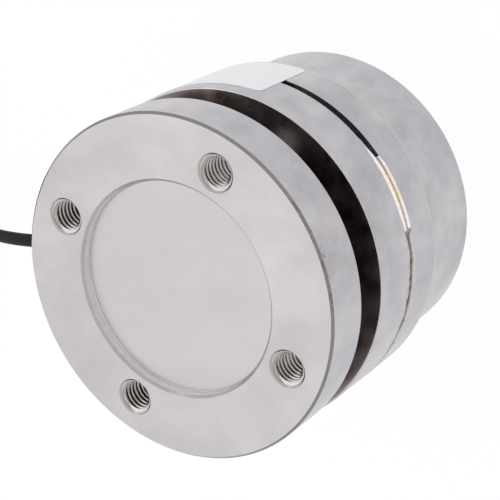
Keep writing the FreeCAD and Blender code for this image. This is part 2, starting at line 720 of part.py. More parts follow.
def make_board_terminals():
    body = new_body("board_terminals")
    pin = "Sizes.TerminalDiameter / 2"
    for number in range(int(size("Sizes.TerminalCount"))):
        bored(body, "terminal_%d" % (number + 1), [
            ("0", "%s - Sizes.TerminalTail" % BOARD_FOOT),
            (pin, "%s - Sizes.TerminalTail" % BOARD_FOOT),
            (pin, BOARD_TOP),
            ("Sizes.TerminalCollar / 2", BOARD_TOP),
            ("Sizes.TerminalCollar / 2", "%s + Sizes.TerminalTail" % BOARD_TOP),
            (pin, "%s + Sizes.TerminalTail" % BOARD_TOP),
            (pin, "%s + Sizes.TerminalHeight" % BOARD_TOP),
            ("0", "%s + Sizes.TerminalHeight" % BOARD_TOP),
        ], TERMINAL_RADIUS, terminal_angle(number), "1", adds=True)
    return body


def make_board_standoffs():
    body = new_body("board_standoffs")
    wide = "Sizes.StandoffDiameter / 2"
    stud = "Sizes.StudDiameter / 2"
    hole = "Sizes.StudDiameter / 2 + Sizes.ThreadClearance"
    depth = "Sizes.BoardScrewLength - Sizes.BoardThickness + Sizes.ThreadClearance"
    bored(body, "standoffs", [
        ("0", "%s - Sizes.StudLength" % FOOT_TOP),
        (stud, "%s - Sizes.StudLength" % FOOT_TOP),
        (stud, FOOT_TOP),
        (wide, FOOT_TOP),
        (wide, BOARD_FOOT),
        (hole, BOARD_FOOT),
        (hole, "%s - (%s)" % (BOARD_FOOT, depth)),
        ("0", "%s - (%s)" % (BOARD_FOOT, depth)),
    ], STANDOFF_RADIUS, "Sizes.StandoffAngle", "Sizes.StandoffCount", adds=True)
    return body


def make_board_screws():
    body = new_body("board_screws")
    head = "Sizes.BoardHeadDiameter / 2"
    stud = "Sizes.StudDiameter / 2"
    bored(body, "screws", [
        ("0", "%s + Sizes.BoardThickness - Sizes.BoardScrewLength" % BOARD_FOOT),
        (stud, "%s + Sizes.BoardThickness - Sizes.BoardScrewLength" % BOARD_FOOT),
        (stud, BOARD_TOP),
        (head, BOARD_TOP),
        ("%s - Sizes.EdgeChamfer" % head, "%s + Sizes.BoardHeadHeight" % BOARD_TOP),
        ("0", "%s + Sizes.BoardHeadHeight" % BOARD_TOP),
    ], STANDOFF_RADIUS, "Sizes.StandoffAngle", "Sizes.StandoffCount", adds=True)
    return body


def make_resistors():
    made = []
    for label, angle in (("zero_resistor", "120"), ("span_resistor", "180"), ("temperature_resistor", "240")):
        made.append(block(label, "Sizes.ResistorWidth", "Sizes.ResistorLength", "Sizes.ResistorHeight",
                          "%s - Sizes.ResistorWidth / 2" % RESISTOR_RADIUS, BOARD_TOP, angle))
    return made


def tube(points, radius, bend=None):
    """Round tube along straight runs joined by tangent arcs; gives its solid and the arcs' radii."""
    edges = []
    radii = []
    start = points[0]
    for index in range(1, len(points) - 1):
        corner = points[index]
        back = points[index - 1] - corner
        ahead = points[index + 1] - corner
        shorter = min(back.Length, ahead.Length)
        half_turn = (math.pi - back.getAngle(ahead)) / 2
        arc = bend if bend else 0.45 * shorter / math.tan(half_turn)
        trim = arc * math.tan(half_turn)
        back = back.normalize()
        ahead = ahead.normalize()
        enter = corner + back * trim
        leave = corner + ahead * trim
        inward = (back + ahead).normalize()
        middle = corner + inward * (arc / math.cos(half_turn) - arc)
        edges.append(Part.LineSegment(start, enter).toShape())
        edges.append(Part.Arc(enter, middle, leave).toShape())
        radii.append(arc)
        start = leave
    edges.append(Part.LineSegment(start, points[-1]).toShape())
    path = Part.Wire(edges)
    circle = Part.Circle(points[0], points[1] - points[0], radius)
    section = Part.Wire([circle.toShape()])
    solid = path.makePipeShell([section], True, False)
    expected = math.pi * radius ** 2 * path.Length
    if abs(solid.Volume - expected) > 0.01 * expected:
        raise RuntimeError("a tube's volume is %.2f, not %.2f" % (solid.Volume, expected))
    return solid, radii, path.Length


def make_gland():
    """Cable gland along +X: body, gasket, seal, nut and bend relief, and the clamp on the jacket inside."""
    cable = "Sizes.CableDiameter / 2"
    bore = "%s + Sizes.GlandBoreClearance" % cable
    seal = "Sizes.GlandSealDiameter / 2"
    thread = "Sizes.GlandThreadDiameter / 2"
    outer = "Sizes.GlandNeckDiameter / 2"
    hexagon = "Sizes.GlandHex / 2"
    seal_start = "(%s - Sizes.GlandSealLength)" % NECK_END
    corner = "(Sizes.GlandHex / 2 / cos(30))"
    made = []

    body = new_body("gland_body")
    turned(body, "turned_profile", [
        (bore, GLAND_TAIL),
        (thread, GLAND_TAIL),
        (thread, HEX_START),
        (corner, HEX_START),
        (corner, HEX_END),
        (outer, HEX_END),
        (outer, NECK_END),
        (seal, NECK_END),
        (seal, seal_start),
        (bore, seal_start),
    ], along="X")
    cut_hexagon(body, hexagon, corner, HEX_START, HEX_END)
    made.append(body)

    gasket = new_body("gland_gasket")
    turned(gasket, "washer", [
        ("%s + Sizes.NutClearance" % thread, SPOT_FACE),
        ("Sizes.GasketDiameter / 2", SPOT_FACE),
        ("Sizes.GasketDiameter / 2", HEX_START),
        ("%s + Sizes.NutClearance" % thread, HEX_START),
    ], along="X")
    made.append(gasket)

    rubber = new_body("gland_seal")
    turned(rubber, "sleeve", [
        (cable, seal_start),
        (seal, seal_start),
        (seal, NECK_END),
        (cable, NECK_END),
    ], along="X")
    made.append(rubber)

    nut = new_body("gland_nut")
    root = "Sizes.ReliefRootDiameter / 2 + Sizes.NutClearance"
    inside = "%s + Sizes.NutClearance" % outer
    wall_start = "(%s - Sizes.NutWall)" % NUT_END
    turned(nut, "turned_profile", [
        (inside, NUT_START),
        (corner, NUT_START),
        (corner, "%s - Sizes.NutWall" % wall_start),
        ("%s - Sizes.NutWall" % hexagon, NUT_END),
        (root, NUT_END),
        (root, wall_start),
        (inside, wall_start),
    ], along="X")
    cut_hexagon(nut, hexagon, corner, NUT_START, NUT_END)
    made.append(nut)

    relief = new_body("bend_relief")
    rim = "%s - Sizes.NutClearance" % outer
    turned(relief, "turned_profile", [
        (cable, NECK_END),
        (rim, NECK_END),
        (rim, wall_start),
        ("Sizes.ReliefRootDiameter / 2", wall_start),
        ("Sizes.ReliefRootDiameter / 2", NUT_END),
        ("Sizes.ReliefTipDiameter / 2", RELIEF_END),
        (cable, RELIEF_END),
    ], along="X")
    made.append(relief)

    clamp = new_body("cable_clamp")
    turned(clamp, "collar", [
        (cable, "%s - Sizes.ClampLength" % GLAND_TAIL),
        ("Sizes.ClampDiameter / 2", "%s - Sizes.ClampLength" % GLAND_TAIL),
        ("Sizes.ClampDiameter / 2", GLAND_TAIL),
        (cable, GLAND_TAIL),
    ], along="X")
    made.append(clamp)
    for item in made:
        item.setExpression("Placement.Base.z", EXIT_LEVEL)
    return made


def cut_hexagon(body, flat, corner, start, end):
    """Six flats on a piece turned about X, each cut by the same pocket."""
    sketch = new_sketch(body, "flat_outline", "XY_Plane")
    draw_outline(sketch, [
        (start, flat),
        (end, flat),
        (end, "%s + 1" % corner),
        (start, "%s + 1" % corner),
    ])
    pocket = body.newObject("PartDesign::Pocket", "flat")
    pocket.Profile = sketch
    pocket.Midplane = True
    pocket.setExpression("Length", "%s * 4" % corner)
    body.Tip = pocket
    doc.recompute()
    ring = body.newObject("PartDesign::PolarPattern", "flats")
    ring.Originals = [pocket]
    ring.Axis = (origin_feature(body, "X_Axis"), [""])
    ring.Angle = 360
    ring.Occurrences = 6
    body.Tip = ring
    doc.recompute()


def make_label():
    """Thin sticker wrapped over the seam, with rounded corners."""
    sweep = size("Sizes.LabelSweep")
    height = size("Sizes.LabelHeight")
    inner = size(BODY_RADIUS)
    outer = inner + size("Sizes.LabelThickness")
    shell = Part.makeCylinder(outer, height, Vector(), Vector(0, 0, 1), sweep)
    shell = shell.cut(Part.makeCylinder(inner, height))
    for along, angle in ((1, 0.0), (-1, sweep)):
        for up, level in ((1, 0.0), (-1, height)):
            shell = shell.cut(corner_cutter(inner, outer, along, up, level, angle))
    item = doc.addObject("Part::Feature", "label")
    item.Label = "label"
    item.Shape = shell
    item.Placement = Placement(Vector(0, 0, size("Sizes.LabelFoot")),
                               Rotation(Vector(0, 0, 1), size("Sizes.LabelStart")))
    return item


def corner_cutter(inner, outer, along, up, level, angle):
    """What lies outside the quarter circle that rounds one corner of the sticker."""
    corner = size("Sizes.LabelCorner")
    margin = 1.0
    side = corner + margin
    depth = outer - inner + 2 * margin
    low = Vector(inner - margin, min(along * corner, -along * margin), level + min(up * corner, -up * margin))
    cutter = Part.makeBox(depth, side, side, low)
    middle = Vector(inner - margin, along * corner, level + up * corner)
    cutter = cutter.cut(Part.makeCylinder(corner, depth, middle, Vector(1, 0, 0)))
    cutter.rotate(Vector(), Vector(0, 0, 1), angle)
    return cutter


def make_cores():
    """Cable cores from the end of the jacket inside the cavity to the board's terminals."""
    made = []
    start = size(JACKET_END)
    level = size(EXIT_LEVEL)
    offset = size("Sizes.CoreOffset")
    top = size(BOARD_TOP) + size("Sizes.TerminalHeight")
    reach = size(TERMINAL_RADIUS)
    radius = size("Sizes.CoreDiameter") / 2
    colours = ("green", "red", "white", "black")
    for number, colour in enumerate(colours):
        angle = math.radians(size(terminal_angle(number)))
        side = offset if number >= len(colours) / 2 else -offset
        height = level + (-offset if number in (1, 2) else offset)
        foot = Vector(reach * math.cos(angle), reach * math.sin(angle), top)
        knee = Vector(foot.x, foot.y, top + size("Sizes.CoreRise"))
        bend = Vector(start - size("Sizes.CoreStraight"), side, height)
        item = doc.addObject("Part::Feature", colour + "_core")
        item.Label = colour + "_core"
        points = [Vector(start, side, height), bend, knee, foot]
        item.Shape = tube(points, radius)[0]
        made.append(item)
    return made


# Route of the free cable, chosen by hand, from the bend relief to the coil
ROUTE = [
    (0.0, 0.0, 0.0),
    (14.0, 0.0, 0.0),
    (31.0, 0.8, -6.2),
    (47.0, 2.2, -19.5),
    (61.0, 5.2, -32.6),
    (74.0, 9.6, -39.4),
    (89.0, 13.8, -40.3),
]


def make_cable():
    """Free cable to the coil, with the straight stretch of jacket inside the gland."""
    radius = size("Sizes.CableDiameter") / 2
    begin = Vector(size(RELIEF_END), 0, size(EXIT_LEVEL))
    points = [begin + Vector(*step) for step in ROUTE]
    solid, radii, length = tube(points, radius)
    print("cable arcs, mm:", [round(value, 1) for value in radii], "length", round(length, 1))
    inside = size(JACKET_END)
    inner = Part.makeCylinder(radius, begin.x - inside, Vector(inside, 0, begin.z), Vector(1, 0, 0))
    item = doc.addObject("Part::Feature", "cable")
    item.Label = "cable"
    item.Shape = solid.fuse(inner).removeSplitter()
    return item, points


def make_coil(cable_end, before):
    """Coil of the spare length beside the end of the route, its ties and its bare end."""
    thick = size("Sizes.CableDiameter")
    mean = size("Sizes.CoilMeanDiameter") / 2
    wide = thick * size("Sizes.CoilTurnsAcross")
    tall = thick * size("Sizes.CoilTurnsHigh")
    floor = size("Sizes.CoilFloorGap")
    heading = Vector(cable_end.x - before.x, cable_end.y - before.y, 0).normalize()
    side = Vector(heading.y, -heading.x, 0)
    centre = cable_end + side * (mean + wide / 2 + thick / 2)
    centre.z = floor
    print("coil centre, mm:", [round(value, 2) for value in centre])
    ring = ring_section(mean, wide, tall, thick / 2, 0.0)
    coil = doc.addObject("Part::Feature", "cable_coil")
    coil.Label = "cable_coil"
    coil.Shape = ring
    coil.Placement = Placement(centre, Rotation())

    tie_solids = []
    thickness = size("Sizes.TieThickness")
    width = size("Sizes.TieWidth")
    hoop = ring_section(mean, wide + 2 * thickness, tall + 2 * thickness, thick / 2 + thickness, -thickness)
    hoop = hoop.cut(ring)
    for number in range(int(size("Sizes.TieCount"))):
        angle = size("Sizes.TieAngle") + number * 360.0 / size("Sizes.TieCount")
        slab = Part.makeBox(2 * mean, width, 2 * tall, Vector(0, -width / 2, -tall / 2))
        slab.rotate(Vector(), Vector(0, 0, 1), angle)
        tie_solids.append(hoop.common(slab))
    ties = doc.addObject("Part::Feature", "coil_ties")
    ties.Label = "coil_ties"
    ties.Shape = Part.makeCompound([solid for part in tie_solids for solid in part.Solids])
    ties.Placement = Placement(centre, Rotation())
    return [coil, ties], centre


def ring_section(mean, wide, tall, corner, low):
    """Ring of a rectangular section with bevelled corners, about the origin."""
    left = mean - wide / 2
    right = mean + wide / 2
    slab = Part.makeCylinder(right, tall, Vector(0, 0, low))
    slab = slab.cut(Part.makeCylinder(left, tall, Vector(0, 0, low)))
    rims = [edge for edge in slab.Edges if isinstance(edge.Curve, Part.Circle)]
    return slab.makeChamfer(corner, rims)


def make_tail(centre):
    """Cable end that leaves the coil along the floor, its sleeve and the four bare leads."""
    thick = size("Sizes.CableDiameter")
    radius = thick / 2
    mean = size("Sizes.CoilMeanDiameter") / 2
    wide = thick * size("Sizes.CoilTurnsAcross")
    gap = size("Sizes.FloorGap")
    out = mean + wide / 2 + radius + gap
    rest = size("Sizes.EndSleeveDiameter") / 2 + gap
    start = Vector(centre.x - size("Sizes.TailShift"), centre.y - out, rest)
    points = [start + Vector(*step) for step in TAIL]
    solid, radii, length = tube(points, radius)
    print("tail arcs, mm:", [round(value, 1) for value in radii], "length", round(length, 1))
    tail = doc.addObject("Part::Feature", "cable_tail")
    tail.Label = "cable_tail"
    tail.Shape = solid
    ahead = (points[-1] - points[-2]).normalize()
    made = [tail]

    sleeve_radius = size("Sizes.EndSleeveDiameter") / 2
    overlap = size("Sizes.EndSleeveLength") / 2
    sleeve = Part.makeCylinder(sleeve_radius, 2 * overlap, points[-1] - ahead * overlap, ahead)
    sleeve = sleeve.cut(Part.makeCylinder(radius, overlap, points[-1] - ahead * overlap, ahead))
    across = Vector(-ahead.y, ahead.x, 0)
    core = size("Sizes.CoreDiameter") / 2
    pitch = 2.0 * (core + size("Sizes.LeadGap"))
    straight = size("Sizes.CoreLeadStraight")
    knee = size("Sizes.CoreLeadKnee")
    lead_length = size("Sizes.CoreLeadLength")
    knee_spread = size("Sizes.CoreLeadKneeSpread")
    end_spread = size("Sizes.CoreLeadSpread")
    knee_drop = Vector(0, 0, size("Sizes.CoreLeadKneeDrop"))
    end_drop = Vector(0, 0, size("Sizes.CoreLeadDrop"))
    colours = ("red", "black", "green", "white")
    leads = []
    for number, colour in enumerate(colours):
        spread = number - (len(colours) - 1) / 2
        root = points[-1] + across * (spread * pitch)
        lead = doc.addObject("Part::Feature", colour + "_lead")
        lead.Label = colour + "_lead"
        path = [
            root,
            root + ahead * (overlap + straight),
            root + ahead * (overlap + knee) + across * (spread * knee_spread) - knee_drop,
            root + ahead * (overlap + lead_length) + across * (spread * end_spread) - end_drop,
        ]
        lead.Shape = tube(path, core)[0]
        leads.append(lead)
    for lead in leads:
        sleeve = sleeve.cut(lead.Shape)
    item = doc.addObject("Part::Feature", "end_sleeve")
    item.Label = "end_sleeve"
    item.Shape = sleeve
    made.append(item)
    return made + leads


# Route of the cable end beyond the coil, chosen by hand
TAIL = [
    (0.0, 0.0, 0.0),
    (-8.0, -0.5, 0.0),
    (-17.0, 0.8, 0.0),
    (-26.0, 0.2, 0.0),
]

pieces = [
    make_spring_element(),
    make_housing_sleeve(),
    make_base_housing(),
    make_seam_weld(),
    make_neck_o_ring(),
    make_base_cover(),
    make_foot_screws(),
    make_dowel_pins(),
    make_board(),
    make_board_standoffs(),
    make_board_screws(),
    make_board_terminals(),
    make_label(),
]
pieces += make_gauges()
pieces += make_resistors()
pieces += make_gland()
pieces += make_cores()
cable, cable_points = make_cable()
pieces.append(cable)
coil_pieces, coil_centre = make_coil(cable_points[-1], cable_points[-2])
pieces += coil_pieces
pieces += make_tail(coil_centre)
doc.recompute()

os.makedirs("parts", exist_ok=True)
for item in doc.Objects:
    if "Invalid" in item.State or "Error" in item.State:
        raise RuntimeError("%s failed: %s" % (item.Name, item.State))
for piece in pieces:
    if piece.Shape.isNull() or not piece.Shape.isValid():
        raise RuntimeError(piece.Label + " has no valid shape")
for piece in pieces:
    piece.Shape.exportStep(os.path.join("parts", piece.Label + ".step"))
print(len(pieces), "pieces written")
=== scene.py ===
"""Looks of the column load cell: finish, threads, seam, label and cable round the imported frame.

Lengths are in metres in the row's frame: the cell stands on its rear face, with its axis along +Z.
"""

import math
import random

import bpy
from mathutils import Matrix, Vector, noise


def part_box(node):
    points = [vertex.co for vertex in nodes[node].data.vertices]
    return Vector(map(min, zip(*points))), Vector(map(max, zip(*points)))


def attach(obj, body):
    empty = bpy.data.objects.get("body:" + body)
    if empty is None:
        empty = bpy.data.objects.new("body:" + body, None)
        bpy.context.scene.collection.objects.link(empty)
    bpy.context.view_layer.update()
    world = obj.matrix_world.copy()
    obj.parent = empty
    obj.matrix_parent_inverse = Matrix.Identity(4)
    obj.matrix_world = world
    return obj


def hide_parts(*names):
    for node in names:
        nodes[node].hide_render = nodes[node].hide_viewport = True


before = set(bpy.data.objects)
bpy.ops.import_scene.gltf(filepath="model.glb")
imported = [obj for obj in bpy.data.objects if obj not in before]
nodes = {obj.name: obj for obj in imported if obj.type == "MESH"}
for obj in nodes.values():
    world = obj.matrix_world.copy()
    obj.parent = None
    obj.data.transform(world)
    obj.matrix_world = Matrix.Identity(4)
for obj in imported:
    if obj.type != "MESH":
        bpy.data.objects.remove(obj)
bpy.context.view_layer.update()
MM = 0.001

# Levels and radii that the frame gives
BODY_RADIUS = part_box("housing_sleeve")[1][1]
FLANGE_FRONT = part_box("spring_element")[1][2]
BASE_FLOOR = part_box("spring_element")[0][2]
SPIGOT_END, SLEEVE_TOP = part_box("housing_sleeve")[0][2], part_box("housing_sleeve")[1][2]
COLLAR_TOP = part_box("base_housing")[1][2]
SLEEVE_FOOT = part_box("seam_weld")[1][2]
COVER_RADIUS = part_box("base_cover")[1][0]
EXIT_LEVEL = (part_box("gland_nut")[0][2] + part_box("gland_nut")[1][2]) / 2
RELIEF_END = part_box("bend_relief")[1][0]

# Sizes in the part's own terms. These are this script's own: the flange's chamfer and wear, the steps of the
# mouths, the angle where the recess's satin ends, and the cutters' run-in, run-out and clearance.
FLANGE_THICKNESS = 12.0 * MM
FLANGE_CHAMFER = 0.55 * MM
FLANGE_WEAR = 0.2 * MM
EDGE = 0.4 * MM
RECESS_RADIUS = 24.6 * MM
RECESS_DEPTH = 2.2 * MM
RECESS_CHAMFER = 0.6 * MM
RECESS_FILLET = 0.4 * MM
SATIN_TURN = -24.0
NECK_RADIUS = 22.0 * MM
NECK_CLEARANCE = 0.3 * MM
COLUMN_RADIUS = 15.0 * MM
FLAT_DISTANCE = 13.0 * MM
FLAT_MARGIN = 1.5 * MM
FLAT_COUNT = 4
FLAT_ANGLE = math.radians(45.0)
NECK_TAPER = 6.0 * MM
FOOT_RADIUS = 21.8 * MM
FOOT_THICKNESS = 7.0 * MM
WEB_THICKNESS = 4.0 * MM
CAVITY_RADIUS = 34.0 * MM
SPIGOT_RADIUS = 36.8 * MM
SPIGOT_CLEARANCE = 0.2 * MM
BOSS_RADIUS = 37.3 * MM
BOSS_HEIGHT = 23.1 * MM
COVER_RECESS = 2.5 * MM
COVER_CLEARANCE = 0.1 * MM
BOLT_RADIUS = 31.0 * MM
BOLT_COUNT = 4
BOLT_ANGLE = math.radians(59.0)
TAP_MINOR = 3.35 * MM
TAP_MAJOR = 4.0 * MM
TAP_MOUTH = 4.4 * MM
TAP_PITCH = 1.25 * MM
MOUTH_BREAK = 0.45 * MM
MOUTH_SLOPE = 0.84
THREAD_RUN_IN = 1.5 * TAP_PITCH
THREAD_RUN_OUT = 2.4 * TAP_PITCH
DRILL_CLEARANCE = 0.02 * MM
REAR_TAP_END = 10.5 * MM
DRILL_TIP = 1.9 * MM
FOOT_SCREW_RADIUS = 17.0 * MM
FOOT_SCREW_COUNT = 6
HEAD_SEAT = 8.5 * MM
HEAD_POCKET = 4.5 * MM
SHANK_HOLE = 2.8 * MM
SHANK_TAP = 2.55 * MM
SHANK_END = 19.0 * MM
PIN_HOLE = 2.02 * MM
PIN_DEPTH = 4.0 * MM
PIN_COUNT = 2
PIN_ANGLE = math.pi / 2
STUD_RADIUS = 18.6 * MM
STUD_HOLE = 1.05 * MM
STUD_DEPTH = 2.5 * MM
STUD_COUNT = 3
STUD_ANGLE = math.radians(30.0)
SPOT_FACE = 39.3 * MM
SPOT_RADIUS = 6.0 * MM
GLAND_HOLE = 4.0 * MM
RING_GROOVE_DEPTH = 1.3 * MM
RING_GROOVE_WIDTH = 2.2 * MM
STEPS = 288

# Levels that follow from these
FLANGE_BACK = FLANGE_FRONT - FLANGE_THICKNESS
WEB_FOOT = SLEEVE_TOP - WEB_THICKNESS
TAPER_TOP = WEB_FOOT - FLAT_MARGIN
COLUMN_TOP = TAPER_TOP - NECK_TAPER
FOOT_TOP = BASE_FLOOR + FOOT_THICKNESS


# Shader helpers

def new_material(name):
    """Material with a node tree that holds only its Principled shader and output."""
    material = bpy.data.materials.new(name)
    material.use_nodes = True
    return material


def add_node(material, kind, settings=None, **inputs):
    """Node with some settings; each input is a constant or another node's output socket."""
    node = material.node_tree.nodes.new(kind)
    for key, value in (settings or {}).items():
        setattr(node, key, value)
    for key, value in inputs.items():
        socket = node.inputs[int(key[1:])] if key[0] == "i" and key[1:].isdigit() else node.inputs[key]
        if isinstance(value, bpy.types.NodeSocket):
            material.node_tree.links.new(value, socket)
        else:
            socket.default_value = value
    return node


def set_input(material, key, value):
    """Constant or linked input of the Principled shader."""
    socket = material.node_tree.nodes["Principled BSDF"].inputs[key]
    if isinstance(value, bpy.types.NodeSocket):
        material.node_tree.links.new(value, socket)
    else:
        socket.default_value = value


def place(material):
    """Position on the piece, in the row's frame."""
    return add_node(material, "ShaderNodeTexCoord").outputs["Object"]


def stretched(material, scale):
    """Position scaled by a vector, for textures that are longer one way than another."""
    return add_node(material, "ShaderNodeMapping", i0=place(material), Scale=scale).outputs["Vector"]


def cloud(material, vector, scale, detail=3.0, rough=0.55):
    """Noise from 0 to 1."""
    return add_node(material, "ShaderNodeTexNoise", Vector=vector, Scale=scale, Detail=detail,
                    Roughness=rough).outputs["Fac"]


def remap(material, value, low, high, to_low, to_high):
    """Value carried from one range to another, and held inside it."""
    node = add_node(material, "ShaderNodeMapRange", i0=value, i1=low, i2=high, i3=to_low, i4=to_high)
    return node.outputs["Result"]


def blend_colour(material, factor, first, second):
    """Colour between two, by a factor from 0 to 1."""
    node = add_node(material, "ShaderNodeMix", {"data_type": "RGBA"})
    tree = material.node_tree
    for socket, value in ((node.inputs[0], factor), (node.inputs[6], first), (node.inputs[7], second)):
        if isinstance(value, bpy.types.NodeSocket):
            tree.links.new(value, socket)
        else:
            socket.default_value = value if isinstance(value, float) else (*value, 1.0)
    return node.outputs[2]


def calculate(material, operation, first, second=0.0):
    """Result of a Math node."""
    return add_node(material, "ShaderNodeMath", {"operation": operation}, i0=first, i1=second).outputs[0]


def bump(material, height, depth, strength):
    """Fine relief from a height."""
    node = add_node(material, "ShaderNodeBump", Height=height, Distance=depth, Strength=strength)
    set_input(material, "Normal", node.outputs["Normal"])


def multiply_colour(material, first, second):
    """Product of two colours, or of a colour and a grey."""
    node = add_node(material, "ShaderNodeMix", {"data_type": "RGBA", "blend_type": "MULTIPLY"}, i0=1.0)
    for socket, value in ((node.inputs[6], first), (node.inputs[7], second)):
        if isinstance(value, bpy.types.NodeSocket):
            material.node_tree.links.new(value, socket)
        else:
            socket.default_value = (*value, 1.0)
    return node.outputs[2]


def soft(material, value, low, high, to_low=0.0, to_high=1.0):
    """Value carried smoothly from one range to another."""
    node = add_node(material, "ShaderNodeMapRange", {"interpolation_type": "SMOOTHSTEP"},
                    i0=value, i1=low, i2=high, i3=to_low, i4=to_high)
    return node.outputs["Result"]


def window(material, value, low, high, edge):
    """1 between two limits, falling smoothly to 0 outside them."""
    rise = soft(material, value, low - edge, low + edge)
    fall = soft(material, value, high - edge, high + edge, 1.0, 0.0)
    return calculate(material, "MULTIPLY", rise, fall)


def cylinder_place(material):
    """Azimuth in degrees from 0 to 360, radius and level of the shaded point."""
    split = add_node(material, "ShaderNodeSeparateXYZ", i0=place(material))
    x, y, z = split.outputs
    angle = calculate(material, "ARCTAN2", y, x)
    turned = add_node(material, "ShaderNodeMath", {"operation": "WRAP"}, i0=angle, i1=2 * math.pi, i2=0.0)
    degrees = calculate(material, "MULTIPLY", turned.outputs[0], 180.0 / math.pi)
    x_square = calculate(material, "MULTIPLY", x, x)
    y_square = calculate(material, "MULTIPLY", y, y)
    squares = calculate(material, "ADD", x_square, y_square)
    return degrees, calculate(material, "SQRT", squares), z


# Materials

STEEL_COOL = (0.45, 0.448, 0.49)
STEEL_WARM = (0.59, 0.568, 0.578)
HAZE_TONE = (0.40, 0.365, 0.35)
STAIN_TONE = (0.20, 0.14, 0.12)
FACE_DARK = (0.545, 0.517, 0.528)
FACE_LIGHT = (0.598, 0.574, 0.582)
RECESS_TONE = (0.588, 0.563, 0.575)

# Marks at one side of the flange, by azimuth in degrees and by level
RUST_SPAN = (178.0, 214.0)
STAIN_SPAN = (181.0, 203.0)
SPECK_SPAN = (183.0, 202.0)
STAIN_LEVELS = (FLANGE_FRONT - 2.9 * MM, FLANGE_FRONT - 0.9 * MM)
SPECK_LEVELS = (FLANGE_FRONT - 13.4 * MM, FLANGE_FRONT - 5.4 * MM)


def edge_stains(material):
    """Dirt beside the flange's edge at one side, from 0 to 1: spots at the edge, specks a little below."""
    azimuth, _, level = cylinder_place(material)
    beside = calculate(material, "MULTIPLY", window(material, azimuth, *STAIN_SPAN, 4.0),
                       soft(material, level, *STAIN_LEVELS))
    spots = remap(material, cloud(material, place(material), 700.0, 4.0, 0.75), 0.52, 0.66, 0.0, 1.0)
    stains = calculate(material, "MULTIPLY", spots, beside)
    below = calculate(material, "MULTIPLY", window(material, azimuth, *SPECK_SPAN, 4.0),
                      soft(material, level, *SPECK_LEVELS))
    specks = remap(material, cloud(material, place(material), 1000.0, 3.0, 0.6), 0.60, 0.70, 0.0, 0.45)
    stains = calculate(material, "MAXIMUM", stains, calculate(material, "MULTIPLY", specks, below))
    return calculate(material, "MULTIPLY", stains, 0.75)


def turned_steel():
    """Turned and wiped stainless steel: cloudy tone, brownish haze, faint lathe lines and a few stains."""
    material = new_material("turned_steel")
    clouds = cloud(material, place(material), 75.0, 3.0, 0.6)
    wisps = cloud(material, stretched(material, (210.0, 210.0, 90.0)), 1.0, 2.0, 0.6)
    tone = blend_colour(material, remap(material, clouds, 0.36, 0.64, 0.0, 1.0), STEEL_COOL, STEEL_WARM)
    tone = multiply_colour(material, tone, remap(material, wisps, 0.35, 0.65, 0.94, 1.025))
    haze = remap(material, cloud(material, place(material), 48.0, 4.0, 0.62), 0.52, 0.70, 0.0, 0.55)
    tone = blend_colour(material, haze, tone, HAZE_TONE)
    lines = cloud(material, stretched(material, (20.0, 20.0, 1400.0)), 1.0, 1.0)
    tone = multiply_colour(material, tone, remap(material, lines, 0.3, 0.7, 0.99, 1.006))
    tone = blend_colour(material, edge_stains(material), tone, STAIN_TONE)
    set_input(material, "Base Color", tone)
    set_input(material, "Metallic", 1.0)
    set_input(material, "Roughness", remap(material, clouds, 0.3, 0.7, 0.24, 0.34))
    return material


def face_steel():
    """Ground end faces: flatter and warmer than the turned sides, lighter inside the recess."""
    material = new_material("face_steel")
    _, radius, _ = cylinder_place(material)
    clouds = cloud(material, place(material), 60.0, 5.0, 0.6)
    wipes = cloud(material, stretched(material, (35.0, 110.0, 60.0)), 1.0, 4.0, 0.55)
    tone = blend_colour(material, remap(material, clouds, 0.38, 0.62, 0.0, 1.0), FACE_DARK, FACE_LIGHT)
    tone = multiply_colour(material, tone, remap(material, wipes, 0.35, 0.65, 0.965, 1.02))
    inside = soft(material, radius, RECESS_RADIUS + 0.2 * MM, RECESS_RADIUS - 0.2 * MM)
    recess = multiply_colour(material, RECESS_TONE, remap(material, wipes, 0.35, 0.65, 0.975, 1.015))
    recess = multiply_colour(material, recess, remap(material, clouds, 0.36, 0.64, 0.985, 1.01))
    tone = blend_colour(material, inside, tone, recess)
    set_input(material, "Base Color", tone)
    set_input(material, "Metallic", 1.0)
    set_input(material, "Roughness", remap(material, clouds, 0.3, 0.7, 0.34, 0.42))
    grain = cloud(material, place(material), 2500.0, 2.0)
    bump(material, grain, 0.002 * MM, 0.3)
    return material


def thread_steel():
    """Cut threads and other machined holes: glossy, with a dark brownish tone that is painted shade inside
    the holes.
    """
    material = new_material("thread_steel")
    clouds = cloud(material, place(material), 400.0, 3.0)
    # Dark brownish base tone: painted shade inside the threads and holes
    tone = blend_colour(material, clouds, (0.26, 0.225, 0.21), (0.52, 0.495, 0.48))
    set_input(material, "Base Color", tone)
    set_input(material, "Metallic", 1.0)
    set_input(material, "Roughness", 0.18)
    return material


def edge_steel():
    """Broken edge of the flange: sharp and glossy, with a dark tone that is a painted reflection along the
    edge, and rust spots at one side.
    """
    material = new_material("edge_steel")
    azimuth, _, _ = cylinder_place(material)
    spots = cloud(material, place(material), 900.0, 4.0, 0.7)
    side = window(material, azimuth, *RUST_SPAN, 6.0)
    rust = calculate(material, "MULTIPLY", remap(material, spots, 0.50, 0.60, 0.0, 0.8), side)
    # Dark base tone: painted reflection along the edge; the blend towards brown is rust
    tone = blend_colour(material, rust, (0.24, 0.225, 0.225), (0.15, 0.10, 0.08))
    set_input(material, "Base Color", tone)
    set_input(material, "Metallic", 1.0)
    set_input(material, "Roughness", remap(material, spots, 0.4, 0.6, 0.12, 0.24))
    return material


def rim_steel():
    """Chamfer and corner of the recess, and the broken edge of the tapped holes: cut sharp and glossy, with a
    dark tone that is a painted reflection on these rims.
    """
    material = new_material("rim_steel")
    clouds = cloud(material, place(material), 300.0, 3.0)
    # Dark base tone: painted reflection on the rims
    tone = blend_colour(material, clouds, (0.34, 0.325, 0.32), (0.48, 0.465, 0.455))
    set_input(material, "Base Color", tone)
    set_input(material, "Metallic", 1.0)
    set_input(material, "Roughness", remap(material, clouds, 0.3, 0.7, 0.18, 0.26))
    return material


